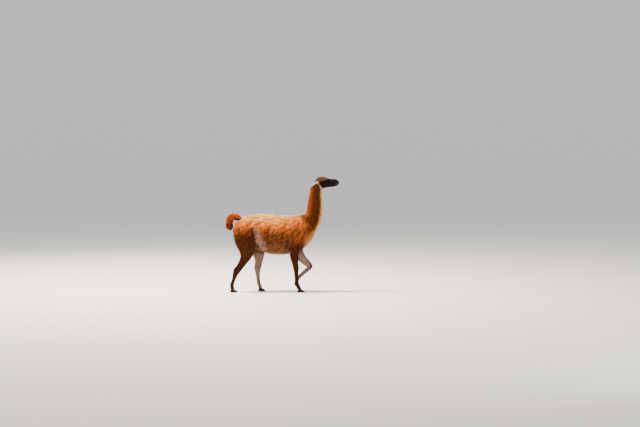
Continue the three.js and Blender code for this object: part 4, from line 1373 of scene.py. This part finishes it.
class Finish:
    def __init__(self, name):
        self.material = bpy.data.materials.new(name)
        self.material.use_nodes = True
        self.tree = self.material.node_tree
        self.tree.nodes.clear()

    def node(self, kind, settings, sockets, out=0):
        made = self.tree.nodes.new(kind)
        for key, value in settings.items():
            if key == "stops":
                ramp = made.color_ramp
                while len(ramp.elements) < len(value):
                    ramp.elements.new(0.5)
                for element, (position, colour) in zip(ramp.elements, value):
                    element.position = position
                    element.color = (*colour, 1)
            else:
                setattr(made, key, value)
        for key, value in sockets.items():
            if isinstance(value, Wire):
                self.tree.links.new(value.socket, made.inputs[key])
            else:
                made.inputs[key].default_value = value
        return Wire(self, made.outputs[out])

    def place(self):
        return self.node("ShaderNodeTexCoord", {}, {}, 3)

    def noise(self, vector, scale, detail=3, roughness=0.5):
        sockets = {"Vector": vector, "Scale": scale, "Detail": detail, "Roughness": roughness}
        return self.node("ShaderNodeTexNoise", {}, sockets)

    def vector(self, operation, a, b=(0, 0, 0), out=0):
        return self.node("ShaderNodeVectorMath", {"operation": operation}, {0: a, 1: b}, out)

    def coat(self, shade):
        # The coat's colour of each corner times a shade
        colour = self.node("ShaderNodeAttribute", {"attribute_name": "coat"}, {})
        return self.node("ShaderNodeVectorMath", {"operation": "SCALE"}, {0: colour, "Scale": shade})

    def ramp(self, value, stops):
        return self.node("ShaderNodeValToRGB", {"stops": stops}, {"Fac": value})

    def step(self, value, edge):
        # 0 below the edge's first number and 1 above its second
        return self.node("ShaderNodeMapRange", {}, {"Value": value, "From Min": edge[0], "From Max": edge[1]})

    def mix(self, share, a, b):
        return self.node("ShaderNodeMix", {"data_type": "RGBA"}, {0: share, 6: a, 7: b}, 2)

    def bump(self, height, strength, distance):
        sockets = {"Strength": strength, "Distance": distance, "Height": height}
        return self.node("ShaderNodeBump", {}, sockets)

    def surface(self, **sockets):
        named = {key.replace("_", " "): value for key, value in sockets.items()}
        shader = self.node("ShaderNodeBsdfPrincipled", {}, named)
        output = self.tree.nodes.new("ShaderNodeOutputMaterial")
        self.tree.links.new(shader.socket, output.inputs["Surface"])
        return self.material


def coatFinish(name, mottle):
    # The coat's colour, mottled by a broad and a fine noise, on dry hair
    finish = Finish(name)
    broad = finish.noise(finish.place(), 11, 2)
    fine = finish.noise(finish.place(), 140, 3)
    shade = 1 + (broad - 0.5) * mottle + (fine - 0.5) * (0.7 * mottle)
    rough = 0.72 + 0.2 * fine
    return finish.surface(Base_Color=finish.coat(shade), Roughness=rough, Specular_IOR_Level=0.1)


def skinFinish():
    # The undercoat: the coat's colour in fine streaks along each part, raised as short hair
    finish = Finish("undercoat")
    along = finish.node("ShaderNodeUVMap", {"uv_map": "OFBake"}, {})
    stretched = finish.node("ShaderNodeMapping", {}, {"Vector": along, "Scale": (260, 900, 1)})
    streak = finish.noise(stretched, 1.0, 3, 0.6)
    fine = finish.noise(finish.place(), 420, 2)
    shade = 0.62 + 0.5 * streak + 0.2 * (fine - 0.5)
    rough = 0.7 + 0.2 * fine
    hairs = finish.bump(streak * 0.6 + fine * 0.4, 0.6, 0.0012)
    colour = finish.coat(shade)
    return finish.surface(Base_Color=colour, Roughness=rough, Normal=hairs, Specular_IOR_Level=0.12)


undercoat = skinFinish()
woolFinish = coatFinish("wool", 0.55)
hairFinish = coatFinish("hair", 0.3)

# The undercoat is darkened as painted shade in the depths of the coat, but not on the face, where the tufts
# are shortest
undercoatShade = 0.58
skinNodes = [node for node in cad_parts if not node.startswith(("eye", "nail"))]
skinShade = blend(np.full((len(skinPoints), 1), undercoatShade), [1.0], smooth(640, 700, skinPoints[:, 0]))
skin = newPiece("skin", skinPoints, skinFaces, {"OFBake": skinCorners}, skinColours * skinShade)
skin.data.materials.append(undercoat)
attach(skin, "root")
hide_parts(*skinNodes)
print("skin made")

coatTotal = 0
isLong = style["length"] > coatSettings["longLength"]
isMiddle = style["length"] > coatSettings["middleLength"]
tuftRings = np.select([isLong, isMiddle], [3, 2], 1)
for pieceName, (slotName, chosenMask) in coatPieces.items():
    groups = []
    for index, partName in enumerate(partNames):
        for ringCount in ringShares:
            here = chosenMask & (roots["owner"] == index) & (tuftRings == ringCount)
            if here.any():
                groups.append(tuftsOn(partName, np.flatnonzero(here), roots, style, ringCount))
    tuftPoints, tuftFaces, tuftColours, tuftMaps = joinTufts(groups)
    tuftCorners = {"OFBake": tuftMaps[tuftFaces.ravel()]}
    piece = newPiece(f"coat_{pieceName}", tuftPoints, tuftFaces, tuftCorners, tuftColours)
    piece.data.materials.append(woolFinish if slotName == "coat_wool" else hairFinish)
    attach(piece, "root")
    coatTotal += len(tuftFaces)
    print(f"coat_{pieceName}:", len(tuftFaces), "triangles")
print("coat made:", coatTotal, "triangles")


# Eyes: a dark glossy ball with a clear bulge in front, a brown iris and a level oval pupil

# Edges are in widths of the eye's map, from its middle
eyeSettings = {
    "bulge": 1.1, "bulgeWidth": 0.5, "rings": 48, "columns": 64, "mapMargin": 4,
    "irisEdge": (0.26, 0.31), "pupilEdge": (0.085, 0.1), "pupilLength": 2,
    "irisStops": [(0.3, rgb(16, 9, 5)), (0.7, rgb(52, 28, 14))],
    "besideIris": (0.006, 0.004, 0.003, 1), "pupil": (0.002, 0.002, 0.003, 1),
}


def eyeBall(side):
    # A sphere whose radius grows by bulge * exp(-(angle / bulgeWidth)^2) at an angle from its front
    centre, look, forward, up = eyeFrame(side)
    eyeRadius = headSettings["eyeRadius"]
    angle = np.linspace(0.03, np.pi - 0.03, eyeSettings["rings"])[:, None]
    turn = np.linspace(0, 2 * np.pi, eyeSettings["columns"], endpoint=False)[None, :]
    radius = eyeRadius + eyeSettings["bulge"] * bell(angle, eyeSettings["bulgeWidth"])
    a = radius * np.sin(angle) * np.cos(turn)
    b = radius * np.sin(angle) * np.sin(turn)
    depth = radius * np.cos(angle) + 0 * turn
    grid = centre + a[..., None] * forward + b[..., None] * up + depth[..., None] * look
    points, faces, _ = closedGrid(grid)
    local = points - centre
    mapWidth = 2 * eyeRadius + eyeSettings["mapMargin"]
    return points, faces, np.column_stack([local @ forward, local @ up]) / mapWidth + 0.5


def eyeFinish():
    # A streaked iris, nearly black round it, and the pupil over it, longer than it is high
    finish = Finish("eye")
    flat = finish.node("ShaderNodeUVMap", {"uv_map": "iris"}, {})
    centred = finish.vector("SUBTRACT", flat, (0.5, 0.5, 0))
    squeezed = finish.vector("MULTIPLY", centred, (1 / eyeSettings["pupilLength"], 1, 0))
    away = finish.vector("LENGTH", centred, out=1)
    pupilAway = finish.vector("LENGTH", squeezed, out=1)
    iris = finish.ramp(finish.noise(centred, 60, 4), eyeSettings["irisStops"])
    around = finish.mix(finish.step(away, eyeSettings["irisEdge"]), iris, eyeSettings["besideIris"])
    colour = finish.mix(finish.step(pupilAway, eyeSettings["pupilEdge"]), eyeSettings["pupil"], around)
    gloss = {"Specular_IOR_Level": 0.06, "Coat_Weight": 0.1, "Coat_Roughness": 0.02}
    return finish.surface(Base_Color=colour, Roughness=0.06, **gloss)


eyeMaterial = eyeFinish()
for sideName, side in eyes.items():
    eyePoints, eyeFaces, eyeFlat = eyeBall(side)
    eye = newPiece(f"eyeball_{sideName}", eyePoints, eyeFaces, {"iris": eyeFlat[eyeFaces.ravel()]})
    eye.data.materials.append(eyeMaterial)
    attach(eye, "root")
    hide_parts(f"eye_{sideName}")
print("eyes made")


# Lashes along the upper lids

lashSettings = {
    "count": 60, "length": 13, "width": 0.7, "seed": 5, "span": (-0.8, 0.94), "above": 0.6,
    "up": 0.35, "forward": 0.25, "fan": 0.03, "shake": 0.12, "droop": 5,
    "shares": [0, 0.35, 0.7, 1], "ringWidths": [1, 0.8, 0.5],
}


def lashes(side):
    # Roots spaced along the almond's upper edge on the lid, each one leaving along the look
    # and upwards and turning down by droop times the square of its share of the way
    centre, look, forward, up = eyeFrame(side)
    draw = np.random.default_rng(lashSettings["seed"])
    count, power, above = lashSettings["count"], headSettings["lidPower"], lashSettings["above"]
    openLong = headSettings["openLong"]
    a = openLong * np.linspace(*lashSettings["span"], count)
    b = headSettings["openHigh"] * (1 - np.abs(a / openLong) ** power) ** (1 / power) + above
    radius = headSettings["eyeRadius"] + headSettings["lidThickness"] - above
    depth = np.sqrt(np.maximum(radius ** 2 - a ** 2 - b ** 2, 1))
    base = centre + a[:, None] * forward + b[:, None] * up + depth[:, None] * look
    fan = lashSettings["forward"] + lashSettings["fan"] * a[:, None]
    shake = lashSettings["shake"] * draw.normal(size=(count, 3))
    out = unit(look + up * lashSettings["up"] + forward * fan + shake)
    length = lashSettings["length"] * (0.7 + 0.5 * draw.random(count))
    s = np.array(lashSettings["shares"])[None, :, None]
    path = base[:, None] + out[:, None] * length[:, None, None] * s - up * (lashSettings["droop"] * s ** 2)
    along = unit(np.gradient(path, axis=1))
    across = unit(np.cross(along, np.broadcast_to(up, along.shape)))
    over = np.cross(across, along)
    widths = lashSettings["width"] * np.array(lashSettings["ringWidths"])[None] * np.ones((count, 1))
    points, faces = bladeBodies(path, across, over, widths, 0.5 * widths)
    points = points.reshape(-1, 3)
    return points, faces, np.tile(coatColours["lash"], (len(points), 1))


for sideName, side in eyes.items():
    lashPoints, lashFaces, lashColours = lashes(side)
    lash = newPiece(f"lashes_{sideName}", lashPoints, lashFaces, colours=lashColours)
    lash.data.materials.append(hairFinish)
    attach(lash, "root")


# Toenails: two on each foot, of worn horn

nailSettings = {
    "columns": 28, "rings": 26, "bulges": (1, 1.5), "domeRings": 3, "lowest": 0.5,
    "stops": [(0.3, rgb(24, 19, 16)), (0.75, rgb(74, 60, 50))],
}


def nailFinish():
    # Horn in two browns, with a fine relief
    finish = Finish("horn")
    fine = finish.noise(finish.place(), 260, 4)
    colour = finish.ramp(finish.noise(finish.place(), 60, 2), nailSettings["stops"])
    relief = finish.bump(fine, 0.4, 0.0006)
    return finish.surface(Base_Color=colour, Roughness=0.38 + 0.2 * fine, Normal=relief)


hornFinish = nailFinish()
nailTube = tubeOf(nailTable, isSpine=True)
nailShare = np.linspace(0, 1, nailSettings["rings"])[:, None]
nailTurn = np.linspace(-np.pi, np.pi, nailSettings["columns"], endpoint=False)[None, :]
nailGrid = tubePoints(nailTube, nailShare, nailTurn)
nailPlain = domeEnds(nailGrid, nailSettings["bulges"], nailSettings["domeRings"])
nailPlain[..., 2] = np.maximum(nailPlain[..., 2], nailSettings["lowest"])
for footName, foot in feet.items():
    for number, side in ((1, 1), (2, -1)):
        nailPoints, nailFaces, _ = closedGrid(inFoot(nailPlain, foot, side))
        nail = newPiece(f"toenail_{footName}_{number}", nailPoints, nailFaces)
        nail.data.materials.append(hornFinish)
        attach(nail, "root")
        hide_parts(f"nail_{footName}_{number}")
print("lashes and toenails made")


# Floor, light and camera

studio = {
    "floorHalf": 300, "floorCells": 8, "floorColour": rgb(249, 247, 243), "cloudShade": 0.95,
    "world": rgb(240, 241, 243), "worldStrength": 0.85,
    "horizonShade": (0.945, 0.93, 0.905), "horizonFade": 0.4,
    "lens": 85, "clipEnd": 900, "cameraAt": (0.526, -21.6, 1.915), "cameraPitch": 2.1,
}
lights = {
    "key": {"at": (-3.2, -0.4, 8.0), "aim": 0.9, "size": 2.4, "power": 2400, "colour": (1.0, 0.95, 0.87)},
    "fill": {"at": (5.0, -8.0, 3.0), "aim": 0.9, "size": 5.0, "power": 120, "colour": (0.97, 0.98, 1.0)},
    "rim": {"at": (-4.0, 6.0, 6.0), "aim": 1.0, "size": 3.0, "power": 500, "colour": (1.0, 0.95, 0.88)},
}


def makeFloor():
    # A square grid of points, level at z = 0
    half, cells = studio["floorHalf"], studio["floorCells"]
    line = np.linspace(-half, half, cells + 1) * 1000
    x, y = np.meshgrid(line, line, indexing="ij")
    points = np.column_stack([x.ravel(), y.ravel(), np.zeros(x.size)])
    i, j = np.meshgrid(np.arange(cells), np.arange(cells), indexing="ij")
    a = (i * (cells + 1) + j).ravel()
    b = a + cells + 1
    faces = np.concatenate([np.column_stack([a, b, b + 1]), np.column_stack([a, b + 1, a + 1])])
    floor = newPiece("floor", points, faces)
    finish = Finish("floor")
    cloud = finish.noise(finish.place(), 0.6, 3)
    pale = (*studio["floorColour"], 1)
    deeper = (*(studio["floorColour"] * studio["cloudShade"]), 1)
    floor.data.materials.append(finish.surface(Base_Color=finish.mix(cloud, pale, deeper), Roughness=0.85))


def addLight(name, light):
    # A square lamp at its place, turned to the point at height aim over the middle of the floor
    lamp = bpy.data.lights.new(name, "AREA")
    lamp.size = light["size"]
    lamp.energy = light["power"]
    lamp.color = light["colour"]
    holder = bpy.data.objects.new(name, lamp)
    holder.location = light["at"]
    x, y, z = np.array([0, 0, light["aim"]]) - np.array(light["at"])
    holder.rotation_euler = (np.arctan2(np.hypot(x, y), -z), 0, np.arctan2(y, x) - np.pi / 2)
    scene.collection.objects.link(holder)


def makeWorld():
    # Even light from all round, a little deeper near the horizon, where it meets the far floor
    world = bpy.data.worlds.new("studio")
    world.use_nodes = True
    tree = world.node_tree
    direction, split, ramp = (
        tree.nodes.new(kind)
        for kind in ("ShaderNodeTexCoord", "ShaderNodeSeparateXYZ", "ShaderNodeValToRGB")
    )
    background = tree.nodes["Background"]
    low, high = ramp.color_ramp.elements
    low.color = (*(studio["world"] * np.array(studio["horizonShade"])), 1)
    high.color = (*studio["world"], 1)
    high.position = studio["horizonFade"]
    background.inputs["Strength"].default_value = studio["worldStrength"]
    tree.links.new(direction.outputs["Generated"], split.inputs["Vector"])
    tree.links.new(split.outputs["Z"], ramp.inputs["Fac"])
    tree.links.new(ramp.outputs["Color"], background.inputs["Color"])
    scene.world = world


makeFloor()
for lightName, light in lights.items():
    addLight(lightName, light)
makeWorld()

lens = bpy.data.cameras.new("camera")
lens.lens = studio["lens"]
lens.clip_end = studio["clipEnd"]
camera = bpy.data.objects.new("camera", lens)
camera.location = studio["cameraAt"]
camera.rotation_euler = (np.radians(90 - studio["cameraPitch"]), 0, 0)
scene.collection.objects.link(camera)
scene.camera = camera
print("studio made")
